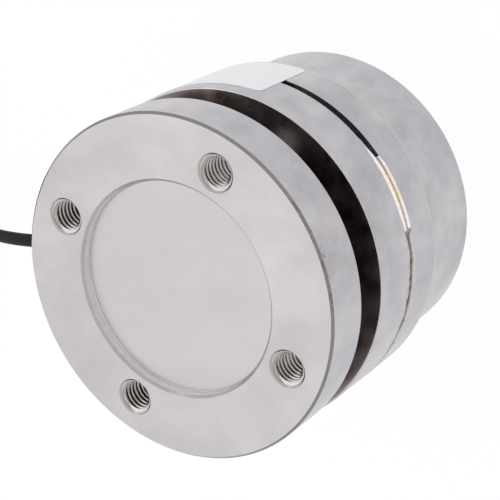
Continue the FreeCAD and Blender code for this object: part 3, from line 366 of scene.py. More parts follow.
def satin_steel():
    """Matt cut steel: the recess's wall, the holes' cones and the collar's lower edge."""
    material = new_material("satin_steel")
    clouds = cloud(material, place(material), 350.0, 3.0)
    tone = blend_colour(material, clouds, (0.60, 0.58, 0.585), (0.78, 0.76, 0.765))
    set_input(material, "Base Color", tone)
    set_input(material, "Metallic", 0.25)
    set_input(material, "Roughness", remap(material, clouds, 0.3, 0.7, 0.36, 0.46))
    return material


def groove_steel():
    """Inside of the groove and of the casing: steel whose dark brownish tone is painted shade of the deep
    groove, with light specks.
    """
    material = new_material("groove_steel")
    clouds = cloud(material, place(material), 160.0, 4.0, 0.6)
    # Dark base tone: painted shade of the deep groove and the hollow casing
    tone = blend_colour(material, remap(material, clouds, 0.45, 0.75, 0.0, 1.0), (0.25, 0.205, 0.20),
                        (0.36, 0.315, 0.305))
    specks = remap(material, cloud(material, place(material), 1100.0, 2.0, 0.5), 0.70, 0.76, 1.0, 2.0)
    set_input(material, "Base Color", multiply_colour(material, tone, specks))
    set_input(material, "Metallic", 1.0)
    set_input(material, "Roughness", remap(material, clouds, 0.3, 0.7, 0.22, 0.38))
    return material


def seam_filler():
    """Filler of the seam: its tone is painted along the seam in the mesh."""
    material = new_material("seam_filler")
    painted = add_node(material, "ShaderNodeVertexColor", {"layer_name": "tone"})
    grain = cloud(material, place(material), 1800.0, 4.0, 0.7)
    tone = multiply_colour(material, painted.outputs["Color"], remap(material, grain, 0.3, 0.7, 0.75, 1.15))
    set_input(material, "Base Color", tone)
    set_input(material, "Metallic", 0.2)
    set_input(material, "Roughness", 0.42)
    bump(material, grain, 0.05 * MM, 0.6)
    return material


def plated_brass():
    """Nickel-plated brass of the gland."""
    material = new_material("plated_brass")
    clouds = cloud(material, place(material), 500.0, 3.0)
    tone = blend_colour(material, clouds, (0.60, 0.585, 0.55), (0.66, 0.645, 0.61))
    set_input(material, "Base Color", tone)
    set_input(material, "Metallic", 1.0)
    set_input(material, "Roughness", remap(material, clouds, 0.3, 0.7, 0.2, 0.3))
    return material


def plain_metal(name, low, high, rough):
    """Small metal parts, between two tones."""
    material = new_material(name)
    clouds = cloud(material, place(material), 700.0, 3.0)
    set_input(material, "Base Color", blend_colour(material, clouds, low, high))
    set_input(material, "Metallic", 1.0)
    set_input(material, "Roughness", rough)
    return material


def plain_plastic(name, low, high, rough, grain=0.01 * MM, gloss=0.5):
    """Moulded or extruded plastic, rubber, film or board."""
    material = new_material(name)
    clouds = cloud(material, place(material), 600.0, 3.0)
    set_input(material, "Base Color", blend_colour(material, clouds, low, high))
    set_input(material, "Roughness", remap(material, clouds, 0.3, 0.7, rough * 0.9, rough * 1.1))
    set_input(material, "Specular IOR Level", gloss)
    bump(material, cloud(material, place(material), 3000.0, 2.0), grain, 0.5)
    return material


MATERIALS = {
    "turned_steel": turned_steel(),
    "face_steel": face_steel(),
    "thread_steel": thread_steel(),
    "edge_steel": edge_steel(),
    "rim_steel": rim_steel(),
    "satin_steel": satin_steel(),
    "seam_filler": seam_filler(),
    "groove_steel": groove_steel(),
    "plated_brass": plated_brass(),
    "brass": plain_metal("brass", (0.70, 0.50, 0.24), (0.80, 0.60, 0.32), 0.3),
    "screw_steel": plain_metal("screw_steel", (0.40, 0.40, 0.41), (0.52, 0.52, 0.53), 0.32),
    "solder": plain_metal("solder", (0.60, 0.60, 0.62), (0.72, 0.72, 0.74), 0.25),
    "rubber": plain_plastic("rubber", (0.018, 0.018, 0.018), (0.03, 0.03, 0.03), 0.6),
    "board": plain_plastic("board", (0.02, 0.13, 0.06), (0.035, 0.18, 0.09), 0.35),
    "gauge_foil": plain_plastic("gauge_foil", (0.50, 0.26, 0.07), (0.62, 0.36, 0.12), 0.3),
    "lead_enamel": plain_plastic("lead_enamel", (0.32, 0.06, 0.03), (0.42, 0.10, 0.05), 0.25),
    "resistor_body": plain_plastic("resistor_body", (0.05, 0.13, 0.25), (0.08, 0.18, 0.32), 0.3),
    "label_film": plain_plastic("label_film", (0.725, 0.72, 0.745), (0.765, 0.76, 0.785), 0.45, 0.004 * MM),
    "cable_jacket": plain_plastic(
        "cable_jacket", (0.006, 0.006, 0.010), (0.010, 0.010, 0.016), 0.55, gloss=0.13,
    ),
    "tie_plastic": plain_plastic("tie_plastic", (0.015, 0.015, 0.015), (0.025, 0.025, 0.025), 0.38),
    "sleeve_plastic": plain_plastic("sleeve_plastic", (0.012, 0.012, 0.012), (0.02, 0.02, 0.02), 0.5),
    "red_insulation": plain_plastic("red_insulation", (0.42, 0.015, 0.015), (0.52, 0.03, 0.03), 0.35),
    "black_insulation": plain_plastic("black_insulation", (0.012, 0.012, 0.012), (0.02, 0.02, 0.02), 0.35),
    "green_insulation": plain_plastic("green_insulation", (0.01, 0.20, 0.05), (0.02, 0.28, 0.08), 0.35),
    "white_insulation": plain_plastic("white_insulation", (0.72, 0.72, 0.70), (0.80, 0.80, 0.78), 0.35),
}


# Mesh helpers

def new_piece(name, points, faces, materials, numbers=None):
    """Object of a mesh; numbers gives each face's material."""
    mesh = bpy.data.meshes.new(name)
    mesh.from_pydata(points, [], faces)
    for material in materials:
        mesh.materials.append(MATERIALS[material])
    if numbers:
        mesh.polygons.foreach_set("material_index", numbers)
    mesh.validate()
    piece = bpy.data.objects.new(name, mesh)
    bpy.context.collection.objects.link(piece)
    return piece


def smooth(piece, angle=30.0):
    """Smooth shading, with edges sharper than an angle kept sharp."""
    mesh = piece.data
    mesh.polygons.foreach_set("use_smooth", [True] * len(mesh.polygons))
    mesh.set_sharp_from_angle(angle=math.radians(angle))


def lathe(name, outline, materials):
    """Closed solid of revolution. outline holds (radius, level, material number) for each corner,
    anticlockwise with the radius to the right; the number is that of the face to the next corner."""
    steps = STEPS
    points = []
    rows = []
    for radius, level, _ in outline:
        if radius < 1e-9:
            rows.append([len(points)] * steps)
            points.append((0.0, 0.0, level))
            continue
        rows.append(list(range(len(points), len(points) + steps)))
        for step in range(steps):
            turn = 2 * math.pi * step / steps
            points.append((radius * math.cos(turn), radius * math.sin(turn), level))
    faces = []
    numbers = []
    for index, (_, _, number) in enumerate(outline):
        low, high = rows[index], rows[(index + 1) % len(rows)]
        if low[0] == low[1] and high[0] == high[1]:
            continue
        for step in range(steps):
            after = (step + 1) % steps
            corners = [low[step], low[after], high[after], high[step]]
            faces.append(tuple(dict.fromkeys(corners)))
            numbers.append(number)
    return new_piece(name, points, faces, materials, numbers)


def thread_cutter(low, high, pitch, minor, major, steps=64):
    """Points and faces of a closed threaded rod about Z, a little longer than the hole that it cuts."""
    profile = ((0.0, minor), (0.25, minor), (0.5625, major), (0.6875, major))
    turns = math.ceil((high - low) / pitch) + 1
    rows = turns * len(profile)
    points = []
    for step in range(steps):
        angle = 2 * math.pi * step / steps
        for row in range(rows + 1):
            phase, radius = profile[row % len(profile)]
            level = low + pitch * (row // len(profile) + phase + step / steps)
            points.append((radius * math.cos(angle), radius * math.sin(angle), level))
    foot = low - 0.2 * pitch
    top = low + pitch * (turns + 1.2)
    ends = len(points)
    for level in (foot, top):
        for step in range(steps):
            angle = 2 * math.pi * step / steps
            points.append((minor * math.cos(angle), minor * math.sin(angle), level))
    column = rows + 1
    faces = []
    for step in range(steps):
        after = (step + 1) % steps
        shift = 0 if after else len(profile)
        for row in range(rows - shift):
            a, b = step * column + row, after * column + row + shift
            faces.append((a, b, b + 1, a + 1))
        low_wall = [step * column, ends + step, ends + after]
        low_wall += [after * column + row for row in range(shift + 1)]
        faces.append(tuple(low_wall))
        high_wall = [ends + steps + step]
        high_wall += [step * column + row for row in range(rows - shift, rows + 1)][::-1]
        faces.append(tuple(high_wall + [after * column + rows, ends + steps + after]))
    faces.append(tuple(ends + step for step in range(steps))[::-1])
    faces.append(tuple(ends + steps + step for step in range(steps)))
    return points, faces


def cup(rows, steps=64):
    """Points and faces of a closed turned shape about Z through (level, radius) pairs, from low to high."""
    points = []
    for level, radius in rows:
        for step in range(steps):
            angle = 2 * math.pi * step / steps
            points.append((radius * math.cos(angle), radius * math.sin(angle), level))
    faces = [tuple(range(steps))[::-1]]
    for first in range(0, (len(rows) - 1) * steps, steps):
        for step in range(steps):
            after = (step + 1) % steps
            faces.append((first + step, first + after, first + steps + after, first + steps + step))
    faces.append(tuple(range(len(points) - steps, len(points))))
    return points, faces


def rod(low, high, low_radius, high_radius, steps=64, tip=0.0):
    """Closed cone or cylinder about Z, with a conical tip above its high end if one is asked for."""
    points, faces = cup(((low, low_radius), (high, high_radius)), steps)
    if tip:
        faces.pop()
        points.append((0.0, 0.0, high + tip))
        faces += [(steps + step, steps + (step + 1) % steps, 2 * steps) for step in range(steps)]
    return points, faces


def ring_of(shape, radius, count, first=0.0):
    """The same closed shape repeated at equal angles on a circle."""
    points, faces = shape
    all_points = []
    all_faces = []
    for number in range(count):
        angle = first + 2 * math.pi * number / count
        base = len(all_points)
        all_points += [(x + radius * math.cos(angle), y + radius * math.sin(angle), z) for x, y, z in points]
        all_faces += [tuple(base + index for index in face) for face in faces]
    return all_points, all_faces


def cut(piece, shape, materials, number):
    """A closed shape cut out of a piece's mesh; the new faces get the numbered material."""
    points, faces = shape
    tool = new_piece("tool", points, faces, materials, [number] * len(faces))
    modifier = piece.modifiers.new("cut", "BOOLEAN")
    modifier.operation = "DIFFERENCE"
    modifier.solver = "EXACT"
    modifier.object = tool
    bpy.context.view_layer.update()
    depsgraph = bpy.context.evaluated_depsgraph_get()
    mesh = bpy.data.meshes.new_from_object(piece.evaluated_get(depsgraph))
    piece.modifiers.clear()
    old = piece.data
    piece.data = mesh
    mesh.name = piece.name
    bpy.data.meshes.remove(old)
    used = tool.data
    bpy.data.objects.remove(tool)
    bpy.data.meshes.remove(used)


def finish_piece(piece, slot, *replaced):
    """Body, and the nodes that the piece stands for; the slot is not used."""
    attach(piece, "root")
    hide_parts(*replaced)


def arc_points(centre, radius, start, end, count, number):
    """Corners of an outline along an arc, angles in degrees."""
    made = []
    for step in range(count + 1):
        angle = math.radians(start + (end - start) * step / count)
        made.append((centre[0] + radius * math.cos(angle), centre[1] + radius * math.sin(angle), number))
    return made


# Pieces of the body

STEEL = (
    "turned_steel", "face_steel", "thread_steel", "groove_steel", "edge_steel", "rim_steel", "satin_steel",
)
SIDE, FACE, CUT, GROOVE, BROKEN, RIM, SATIN = range(7)


def recess_outline():
    """Corners of the recess from its chamfer to the axis."""
    recess_floor = FLANGE_FRONT - RECESS_DEPTH
    corners = [
        (RECESS_RADIUS + RECESS_CHAMFER, FLANGE_FRONT, RIM),
        (RECESS_RADIUS, FLANGE_FRONT - RECESS_CHAMFER, SATIN),
    ]
    centre = (RECESS_RADIUS - RECESS_FILLET, recess_floor + RECESS_FILLET)
    corners += arc_points(centre, RECESS_FILLET, 0.0, SATIN_TURN, 3, SATIN)[:-1]
    # From SATIN_TURN down, the fillet takes rim_steel, whose dark tone is a painted reflection
    corners += arc_points(centre, RECESS_FILLET, SATIN_TURN, -90.0, 8, RIM)
    corners[-1] = (*corners[-1][:2], FACE)
    return corners + [(0.0, recess_floor, FACE)]


def spring_outline():
    """Corners of the spring element: foot, column, neck with its ring groove, flange and recess."""
    ring_middle = WEB_FOOT + WEB_THICKNESS / 2
    ring_low = ring_middle - RING_GROOVE_WIDTH / 2
    ring_high = ring_middle + RING_GROOVE_WIDTH / 2
    rim = BODY_RADIUS - FLANGE_WEAR
    return [
        (0.0, BASE_FLOOR, GROOVE),
        (FOOT_RADIUS, BASE_FLOOR, GROOVE),
        (FOOT_RADIUS, FOOT_TOP, GROOVE),
        (COLUMN_RADIUS, FOOT_TOP, GROOVE),
        (COLUMN_RADIUS, COLUMN_TOP, GROOVE),
        (NECK_RADIUS, TAPER_TOP, GROOVE),
        (NECK_RADIUS, ring_low, GROOVE),
        (NECK_RADIUS - RING_GROOVE_DEPTH, ring_low, GROOVE),
        (NECK_RADIUS - RING_GROOVE_DEPTH, ring_high, GROOVE),
        (NECK_RADIUS, ring_high, GROOVE),
        (NECK_RADIUS, FLANGE_BACK, GROOVE),
        (rim - EDGE / 2, FLANGE_BACK, SIDE),
        (rim, FLANGE_BACK + EDGE / 2, SIDE),
        (rim, FLANGE_FRONT - FLANGE_CHAMFER, BROKEN),
        (rim - FLANGE_CHAMFER, FLANGE_FRONT, FACE),
    ] + recess_outline()


def cut_foot_holes(piece):
    """Taps and pin holes under the foot, and the holes of the board's standoffs above it."""
    taps = rod(BASE_FLOOR - MM, SHANK_END, SHANK_TAP, SHANK_TAP, 32)
    cut(piece, ring_of(taps, FOOT_SCREW_RADIUS, FOOT_SCREW_COUNT), STEEL, GROOVE)
    pins = rod(BASE_FLOOR - MM, BASE_FLOOR + PIN_DEPTH, PIN_HOLE, PIN_HOLE, 32)
    cut(piece, ring_of(pins, FOOT_SCREW_RADIUS, PIN_COUNT, PIN_ANGLE), STEEL, GROOVE)
    studs = rod(FOOT_TOP - STUD_DEPTH, FOOT_TOP + MM, STUD_HOLE, STUD_HOLE, 32)
    cut(piece, ring_of(studs, STUD_RADIUS, STUD_COUNT, STUD_ANGLE), STEEL, GROOVE)


def make_spring_element():
    """Flange, neck, gauged column and foot, turned as one piece."""
    piece = lathe("turned_spring_element", spring_outline(), STEEL)
    for mouth, number in zip(tap_mouth(FLANGE_FRONT), (RIM, SATIN)):
        cut(piece, ring_of(mouth, BOLT_RADIUS, BOLT_COUNT, BOLT_ANGLE), STEEL, number)
    thread = thread_cutter(FLANGE_BACK - THREAD_RUN_IN, FLANGE_FRONT, TAP_PITCH, TAP_MINOR, TAP_MAJOR)
    cut(piece, ring_of(thread, BOLT_RADIUS, BOLT_COUNT, BOLT_ANGLE), STEEL, CUT)
    side = COLUMN_RADIUS
    slab = box_shape((FLAT_DISTANCE, -side, FOOT_TOP + FLAT_MARGIN), (COLUMN_RADIUS + EDGE, side, COLUMN_TOP))
    for number in range(FLAT_COUNT):
        cut(piece, turned_shape(slab, FLAT_ANGLE + 2 * math.pi * number / FLAT_COUNT), STEEL, GROOVE)
    cut_foot_holes(piece)
    smooth(piece)
    finish_piece(piece, "stainless", "spring_element")


def tap_mouth(front):
    """The two cones of a tapped hole's mouth: a broken outer edge, and a steeper one down to the bore."""
    brim = TAP_MOUTH - MOUTH_BREAK
    step = front - MOUTH_BREAK
    depth = (brim - TAP_MINOR) * MOUTH_SLOPE
    broken = cup(((step, brim), (front + MOUTH_BREAK, TAP_MOUTH + MOUTH_BREAK)))
    steep = cup(((step - depth, TAP_MINOR), (step, brim), (front, brim)))
    return broken, steep


def box_shape(low, high):
    """Points and faces of a box between two corners."""
    points = [(x, y, z) for x in (low[0], high[0]) for y in (low[1], high[1]) for z in (low[2], high[2])]
    faces = [(0, 1, 3, 2), (4, 6, 7, 5), (0, 4, 5, 1), (2, 3, 7, 6), (0, 2, 6, 4), (1, 5, 7, 3)]
    return points, faces


def turned_shape(shape, angle):
    """A shape turned about Z."""
    points, faces = shape
    turn = Matrix.Rotation(angle, 3, "Z")
    return [tuple(turn @ Vector(point)) for point in points], faces


def make_sleeve():
    """Casing ring behind the groove, with its web, spigot and the gland's hole."""
    bore = NECK_RADIUS + NECK_CLEARANCE
    spigot = SPIGOT_RADIUS - SPIGOT_CLEARANCE
    outline = [
        (bore, WEB_FOOT, GROOVE),
        (CAVITY_RADIUS, WEB_FOOT, GROOVE),
        (CAVITY_RADIUS, SPIGOT_END, GROOVE),
        (spigot, SPIGOT_END, GROOVE),
        (spigot, SLEEVE_FOOT, SIDE),
        (BODY_RADIUS - EDGE / 2, SLEEVE_FOOT, SIDE),
        (BODY_RADIUS, SLEEVE_FOOT + EDGE / 2, SIDE),
    ]
    outline += arc_points((BODY_RADIUS - EDGE, SLEEVE_TOP - EDGE), EDGE, 0.0, 90.0, 6, SIDE)
    outline[-1] = (*outline[-1][:2], GROOVE)
    outline.append((bore, SLEEVE_TOP, GROOVE))
    piece = lathe("turned_sleeve", anticlockwise(outline), STEEL)
    spot = rod(SPOT_FACE, BODY_RADIUS + MM, SPOT_RADIUS, SPOT_RADIUS, 64)
    cut(piece, along_x(spot), STEEL, CUT)
    hole = rod(CAVITY_RADIUS - 2 * MM, BODY_RADIUS + MM, GLAND_HOLE, GLAND_HOLE, 64)
    cut(piece, along_x(hole), STEEL, CUT)
    smooth(piece)
    finish_piece(piece, "stainless", "housing_sleeve")


def anticlockwise(outline):
    """The same closed outline, turned round if it runs clockwise; each number stays with its edge."""
    area = 0.0
    for (r0, z0, _), (r1, z1, _) in zip(outline, outline[1:] + outline[:1]):
        area += r0 * z1 - r1 * z0
    if area >= 0:
        return outline
    corners = outline[::-1]
    numbers = [outline[(index - 1) % len(outline)][2] for index in range(len(outline))][::-1]
    return [(r, z, number) for (r, z, _), number in zip(corners, numbers)]


def along_x(shape):
    """A shape about Z laid along +X at the level of the cable's exit."""
    points, faces = shape
    return [(z, x, y + EXIT_LEVEL) for x, y, z in points], faces


def base_outline():
    """Corners of the base: cover recess, boss, collar, spigot seat and cavity."""
    corners = [
        (0.0, COVER_RECESS, FACE),
        (COVER_RADIUS + COVER_CLEARANCE, COVER_RECESS, FACE),
        (COVER_RADIUS + COVER_CLEARANCE, 0.0, FACE),
        (BOSS_RADIUS - EDGE, 0.0, SIDE),
        (BOSS_RADIUS, EDGE, SIDE),
        (BOSS_RADIUS, BOSS_HEIGHT, SIDE),
    ]
    corners += arc_points((BODY_RADIUS - EDGE, BOSS_HEIGHT + EDGE), EDGE, -90.0, 0.0, 6, SATIN)
    corners[-1] = (*corners[-1][:2], SIDE)
    return corners + [
        (BODY_RADIUS, COLLAR_TOP - EDGE / 2, SIDE),
        (BODY_RADIUS - EDGE / 2, COLLAR_TOP, SIDE),
        (SPIGOT_RADIUS, COLLAR_TOP, GROOVE),
        (SPIGOT_RADIUS, SPIGOT_END, GROOVE),
        (CAVITY_RADIUS, SPIGOT_END, GROOVE),
        (CAVITY_RADIUS, BASE_FLOOR, GROOVE),
        (0.0, BASE_FLOOR, GROOVE),
    ]


def cut_rear_taps(piece):
    """Tapped blind holes of the rear face: mouth, thread and drilled end."""
    depth = TAP_MOUTH - TAP_MINOR
    mouth = rod(-depth, depth, TAP_MOUTH + depth, TAP_MINOR)
    cut(piece, ring_of(mouth, BOLT_RADIUS, BOLT_COUNT, BOLT_ANGLE), STEEL, CUT)
    threaded = REAR_TAP_END - THREAD_RUN_OUT
    thread = thread_cutter(-THREAD_RUN_IN, threaded, TAP_PITCH, TAP_MINOR, TAP_MAJOR)
    cut(piece, ring_of(thread, BOLT_RADIUS, BOLT_COUNT, BOLT_ANGLE), STEEL, CUT)
    drilled = TAP_MINOR + DRILL_CLEARANCE
    core = rod(threaded - TAP_PITCH, REAR_TAP_END, drilled, drilled, tip=DRILL_TIP)
    cut(piece, ring_of(core, BOLT_RADIUS, BOLT_COUNT, BOLT_ANGLE), STEEL, CUT)


def make_base():
    """Rear casing: collar and boss, with the holes of its screws and pins."""
    piece = lathe("turned_base", base_outline(), STEEL)
    cut_rear_taps(piece)
    pocket = rod(COVER_RECESS - MM, HEAD_SEAT, HEAD_POCKET, HEAD_POCKET, 48)
    shank = rod(HEAD_SEAT - MM, BASE_FLOOR + MM, SHANK_HOLE, SHANK_HOLE, 32)
    for hole in (pocket, shank):
        cut(piece, ring_of(hole, FOOT_SCREW_RADIUS, FOOT_SCREW_COUNT), STEEL, CUT)
    pins = rod(BASE_FLOOR - PIN_DEPTH, BASE_FLOOR + MM, PIN_HOLE, PIN_HOLE, 32)
    cut(piece, ring_of(pins, FOOT_SCREW_RADIUS, PIN_COUNT, PIN_ANGLE), STEEL, CUT)
    smooth(piece)
    finish_piece(piece, "stainless", "base_housing")


# Seam: radii, angles in degrees, and tones

SEAM_FLOOR = 38.0 * MM
LINE_FLOOR = 38.9 * MM
GOLD_LOW_SIDE = 39.9 * MM
GOLD_HIGH_SIDE = 39.7 * MM
FILLER_FLUSH = 39.92 * MM
FILLER_SUNK = 39.5 * MM
SEAM_STEPS = 900
SEAM_ROWS = 16
OPEN_FROM, OPEN_TO = 222.0, 324.0
GOLD_FROM = 186.0
LIGHTEN_SPAN = (188.0, 197.0)
GOLD_SPAN = (190.0, 197.0)
BLEACH_SPAN = (203.0, 213.0)
OPENING_SPAN = (207.0, 221.5)
GOLD_LAP_SPAN = (187.0, 191.0)
LOW_LAP_END = (206.0, 211.0)
HIGH_LAP_END = (212.0, 220.0)
LUMP_AT = 185.6
LUMP_WIDTH = 1.3
LAP_PROUD = 0.05 * MM
LAP_SUNK = 0.02 * MM
DARK_TONE = (0.030, 0.026, 0.025)
BROWN_TONE = (0.085, 0.062, 0.050)
FILLER_TONE = (0.20, 0.165, 0.145)
GOLD_TONE = (0.95, 0.79, 0.65)
PALE_TONE = (0.93, 0.91, 0.90)
SMEAR_TONE = (0.60, 0.57, 0.56)
LUMP_TONE = (0.27, 0.25, 0.24)


def ease(value, low, high):
    """Smooth share from 0 to 1 of a value between two limits."""
    share = min(1.0, max(0.0, (value - low) / (high - low)))
    return share * share * (3.0 - 2.0 * share)


def mix(first, second, share):
    """Colour between two."""
    return tuple(a + (b - a) * share for a, b in zip(first, second))


def mix_one(first, second, share):
    """Number between two."""
    return first + (second - first) * share


def wave(angle, rate, seed):
    """Smooth noise from -1 to 1 along the seam."""
    turn = math.radians(angle)
    return noise.noise(Vector((math.cos(turn) * rate, math.sin(turn) * rate, seed)))


def gold_seam(angle, across):
    """Heat-coloured filler on both sides of a brown line, which widens towards the open part."""
    opened = ease(angle, *OPENING_SPAN)
    line_low = (0.27 + 0.05 * wave(angle, 14.0, 2.0)) * (1.0 - opened)
    line_high = 0.42 + 0.05 * wave(angle, 20.0, 5.0) + 0.62 * opened
    if line_low <= across < line_high and not (across == 0.0 and opened < 0.9):
        dark = max(opened, 1.0 - ease(angle, *LIGHTEN_SPAN))
        return mix_one(LINE_FLOOR, SEAM_FLOOR, opened), mix(BROWN_TONE, DARK_TONE, dark)
    bleached = ease(angle, *BLEACH_SPAN)
    if across <= line_low:
        if opened > 0.2:
            return LINE_FLOOR, DARK_TONE
        return GOLD_LOW_SIDE, mix(GOLD_TONE, PALE_TONE, max(bleached, 1.0 - ease(angle, *GOLD_SPAN)))
    share = (across - line_high) / (1.0 - line_high)
    pale = max(bleached, ease(share, 0.30, 0.85))
    return mix_one(GOLD_HIGH_SIDE, BODY_RADIUS, min(1.0, share)), mix(GOLD_TONE, PALE_TONE, pale)


def filled_seam(angle, across):
    """Filler smeared nearly flush, with a ragged brown line, and a lump where the heat colour starts."""
    middle = 0.48 + 0.12 * wave(angle, 9.0, 1.0)
    half = 0.30 + 0.12 * wave(angle, 16.0, 3.0) + 0.10 * wave(angle, 40.0, 7.0)
    lump = math.exp(-((angle - LUMP_AT) / LUMP_WIDTH) ** 2)
    half += 0.30 * lump
    away = abs(across - middle) / max(half, 0.10)
    tone = mix(FILLER_TONE, BROWN_TONE, ease(wave(angle, 30.0, 4.0), -0.2, 0.4))
    tone = mix(tone, LUMP_TONE, lump)
    inside = 1.0 - ease(away, 0.75, 1.15)
    sunk = FILLER_SUNK + (0.12 * wave(angle, 35.0, 6.0) + 0.65 * lump) * MM
    return mix_one(FILLER_FLUSH, sunk, inside), mix(SMEAR_TONE, tone, inside)


def seam_at(angle, across):
    """Radius and tone of the seam at an angle, at a share of its width from the collar to the sleeve."""
    if OPEN_FROM <= angle <= OPEN_TO:
        return SEAM_FLOOR, DARK_TONE
    if GOLD_FROM <= angle < OPEN_FROM:
        return gold_seam(angle, across)
    return filled_seam(angle, across)


def seam_laps(angle):
    """How far the filler laps over the collar's edge and the sleeve's edge, as shares of the seam's width."""
    if OPEN_FROM <= angle <= OPEN_TO:
        return 0.0, 0.0
    gold = ease(angle, *GOLD_LAP_SPAN) * (1.0 - ease(angle, *HIGH_LAP_END))
    if angle > OPEN_TO:
        fade = ease(angle, OPEN_TO, OPEN_TO + 3.0)
        return 0.07 * fade, 0.08 * fade
    low = (1.0 - ease(angle, *LOW_LAP_END)) * (0.07 + 0.06 * gold)
    high = (1.0 - ease(angle, *HIGH_LAP_END)) * (0.08 + 0.16 * gold)
    return low, high


def seam_point(angle, row):
    """Radius, level and tone of one row of the seam; the rows past both ends lap over the casings' edges."""
    low_lap, high_lap = seam_laps(angle)
    across = min(1.0, max(0.0, row / SEAM_ROWS))
    radius, tone = seam_at(angle, across)
    share = across
    lap = low_lap if row <= 0 else high_lap
    if row in (-1, SEAM_ROWS + 1) and lap > 0.0:
        radius = BODY_RADIUS - LAP_SUNK
    if row in (0, SEAM_ROWS) and lap > 0.02:
        radius = max(radius, BODY_RADIUS + LAP_PROUD)
    if row <= 0:
        share = -low_lap if row < 0 else -0.7 * low_lap
    if row >= SEAM_ROWS:
        share = 1.0 + (high_lap if row > SEAM_ROWS else 0.8 * high_lap)
    return radius, COLLAR_TOP + (SLEEVE_FOOT - COLLAR_TOP) * share, tone


def make_seam():
    """Bead of the seam: a ring whose outer surface and tone follow the angle."""
    points = []
    tones = []
    for step in range(SEAM_STEPS):
        angle = 360.0 * step / SEAM_STEPS
        turn = math.radians(angle)
        column = [seam_point(angle, row) for row in range(-1, SEAM_ROWS + 2)]
        column += [(SPIGOT_RADIUS, level, DARK_TONE) for level in (SLEEVE_FOOT, COLLAR_TOP)]
        for radius, level, tone in column:
            points.append((radius * math.cos(turn), radius * math.sin(turn), level))
            tones.append(tone)
    rows = len(column)
    faces = []
    for step in range(SEAM_STEPS):
        low = step * rows
        high = (step + 1) % SEAM_STEPS * rows
        for row in range(rows):
            after = (row + 1) % rows
            faces.append((low + row, high + row, high + after, low + after))
    piece = new_piece("seam_bead", points, faces, ("seam_filler",))
    layer = piece.data.color_attributes.new("tone", "FLOAT_COLOR", "POINT")
    layer.data.foreach_set("color", [value for tone in tones for value in (*tone, 1.0)])
    smooth(piece, 40.0)
    finish_piece(piece, "weld_metal", "seam_weld")


make_spring_element()
make_sleeve()
make_base()
make_seam()


# Cable: the free route and the tail repeat the part's own points, and the coil's turns lie between them

CABLE_DIAMETER = 3.3 * MM
CABLE_START = (29.0 * MM, 0.0, EXIT_LEVEL)
ROUTE = [
    (0.0, 0.0, 0.0),
    (14.0, 0.0, 0.0),
    (31.0, 0.8, -6.2),
    (47.0, 2.2, -19.5),
    (61.0, 5.2, -32.6),
    (74.0, 9.6, -39.4),
    (89.0, 13.8, -40.3),
]
TAIL = [
    (0.0, 0.0, 0.0),
    (-8.0, -0.5, 0.0),
    (-17.0, 0.8, 0.0),
    (-26.0, 0.2, 0.0),
]
COIL_CENTRE = Vector((150.19, -14.03, 1.0)) * MM
COIL_MEAN = 19.0 * MM
TAIL_START = Vector((154.19, -43.03, 2.15)) * MM
COIL_PATH = [
    (4, 0), (3, 0), (2, 0), (1, 0), (0, 0), (0, 1), (1, 1), (1, 2), (1, 3), (1, 4), (2, 4), (2, 3), (2, 2),
    (2, 1), (3, 1), (3, 2), (3, 3), (3, 4), (4, 4), (4, 3), (4, 2), (4, 1),
]
TURN_POINTS = 14
SHIFT_POINTS = 3
MIDDLE_COLUMN = 2
OUTSIDE = 5


def coil_points(start_angle):
    """Control points of the coil, clockwise from above: half a turn outside, the turns, half a turn."""
    half = TURN_POINTS // 2
    stations = [((OUTSIDE, 0), half)]
    stations += [(cell, TURN_POINTS) for cell in COIL_PATH[:-1]]
    stations += [(COIL_PATH[-1], half), ((OUTSIDE, 1), half), ((OUTSIDE + 0.2, 0), 0)]
    swell = 1.0 / math.cos(math.pi / TURN_POINTS)
    shaker = random.Random(4)
    points = []
    count = 0
    for (cell, length), (following, _) in zip(stations, stations[1:]):
        for step in range(length):
            share = max(0.0, (step - (length - SHIFT_POINTS)) / SHIFT_POINTS)
            column = cell[0] + (following[0] - cell[0]) * share
            row = cell[1] + (following[1] - cell[1]) * share
            angle = start_angle - 2 * math.pi * (count + 1) / TURN_POINTS
            loose = shaker.uniform(-0.04, 0.04) * CABLE_DIAMETER
            radius = (COIL_MEAN + (column - MIDDLE_COLUMN) * CABLE_DIAMETER + loose) * swell
            level = (row + 0.5) * CABLE_DIAMETER
            points.append(COIL_CENTRE + Vector((radius * math.cos(angle), radius * math.sin(angle), level)))
            count += 1
    return points


def make_cable():
    """Cable as one spline: its start in the gland, the free route, the coil and the tail."""
    exit_point = Vector((RELIEF_END, 0.0, EXIT_LEVEL))
    points = [Vector(CABLE_START)] + [exit_point + Vector(step) * MM for step in ROUTE]
    arrival = points[-1] - COIL_CENTRE
    points += coil_points(math.atan2(arrival.y, arrival.x))
    points += [TAIL_START + Vector(step) * MM for step in TAIL]
    curve = bpy.data.curves.new("signal_cable", "CURVE")
    curve.dimensions = "3D"
    spline = curve.splines.new("NURBS")
    spline.points.add(len(points) - 1)
    for item, point in zip(spline.points, points):
        item.co = (*point, 1.0)
    spline.order_u = 3
    spline.use_endpoint_u = True
    spline.resolution_u = 5
    curve.bevel_depth = CABLE_DIAMETER / 2
    curve.bevel_resolution = 5
    curve.use_fill_caps = True
    curve.materials.append(MATERIALS["cable_jacket"])
    cable = bpy.data.objects.new("signal_cable", curve)
    bpy.context.collection.objects.link(cable)
    finish_piece(cable, "cable_jacket", "cable", "cable_coil", "cable_tail")
    return cable


signal_cable = make_cable()


# Pieces that stay as the part has them, each with its material

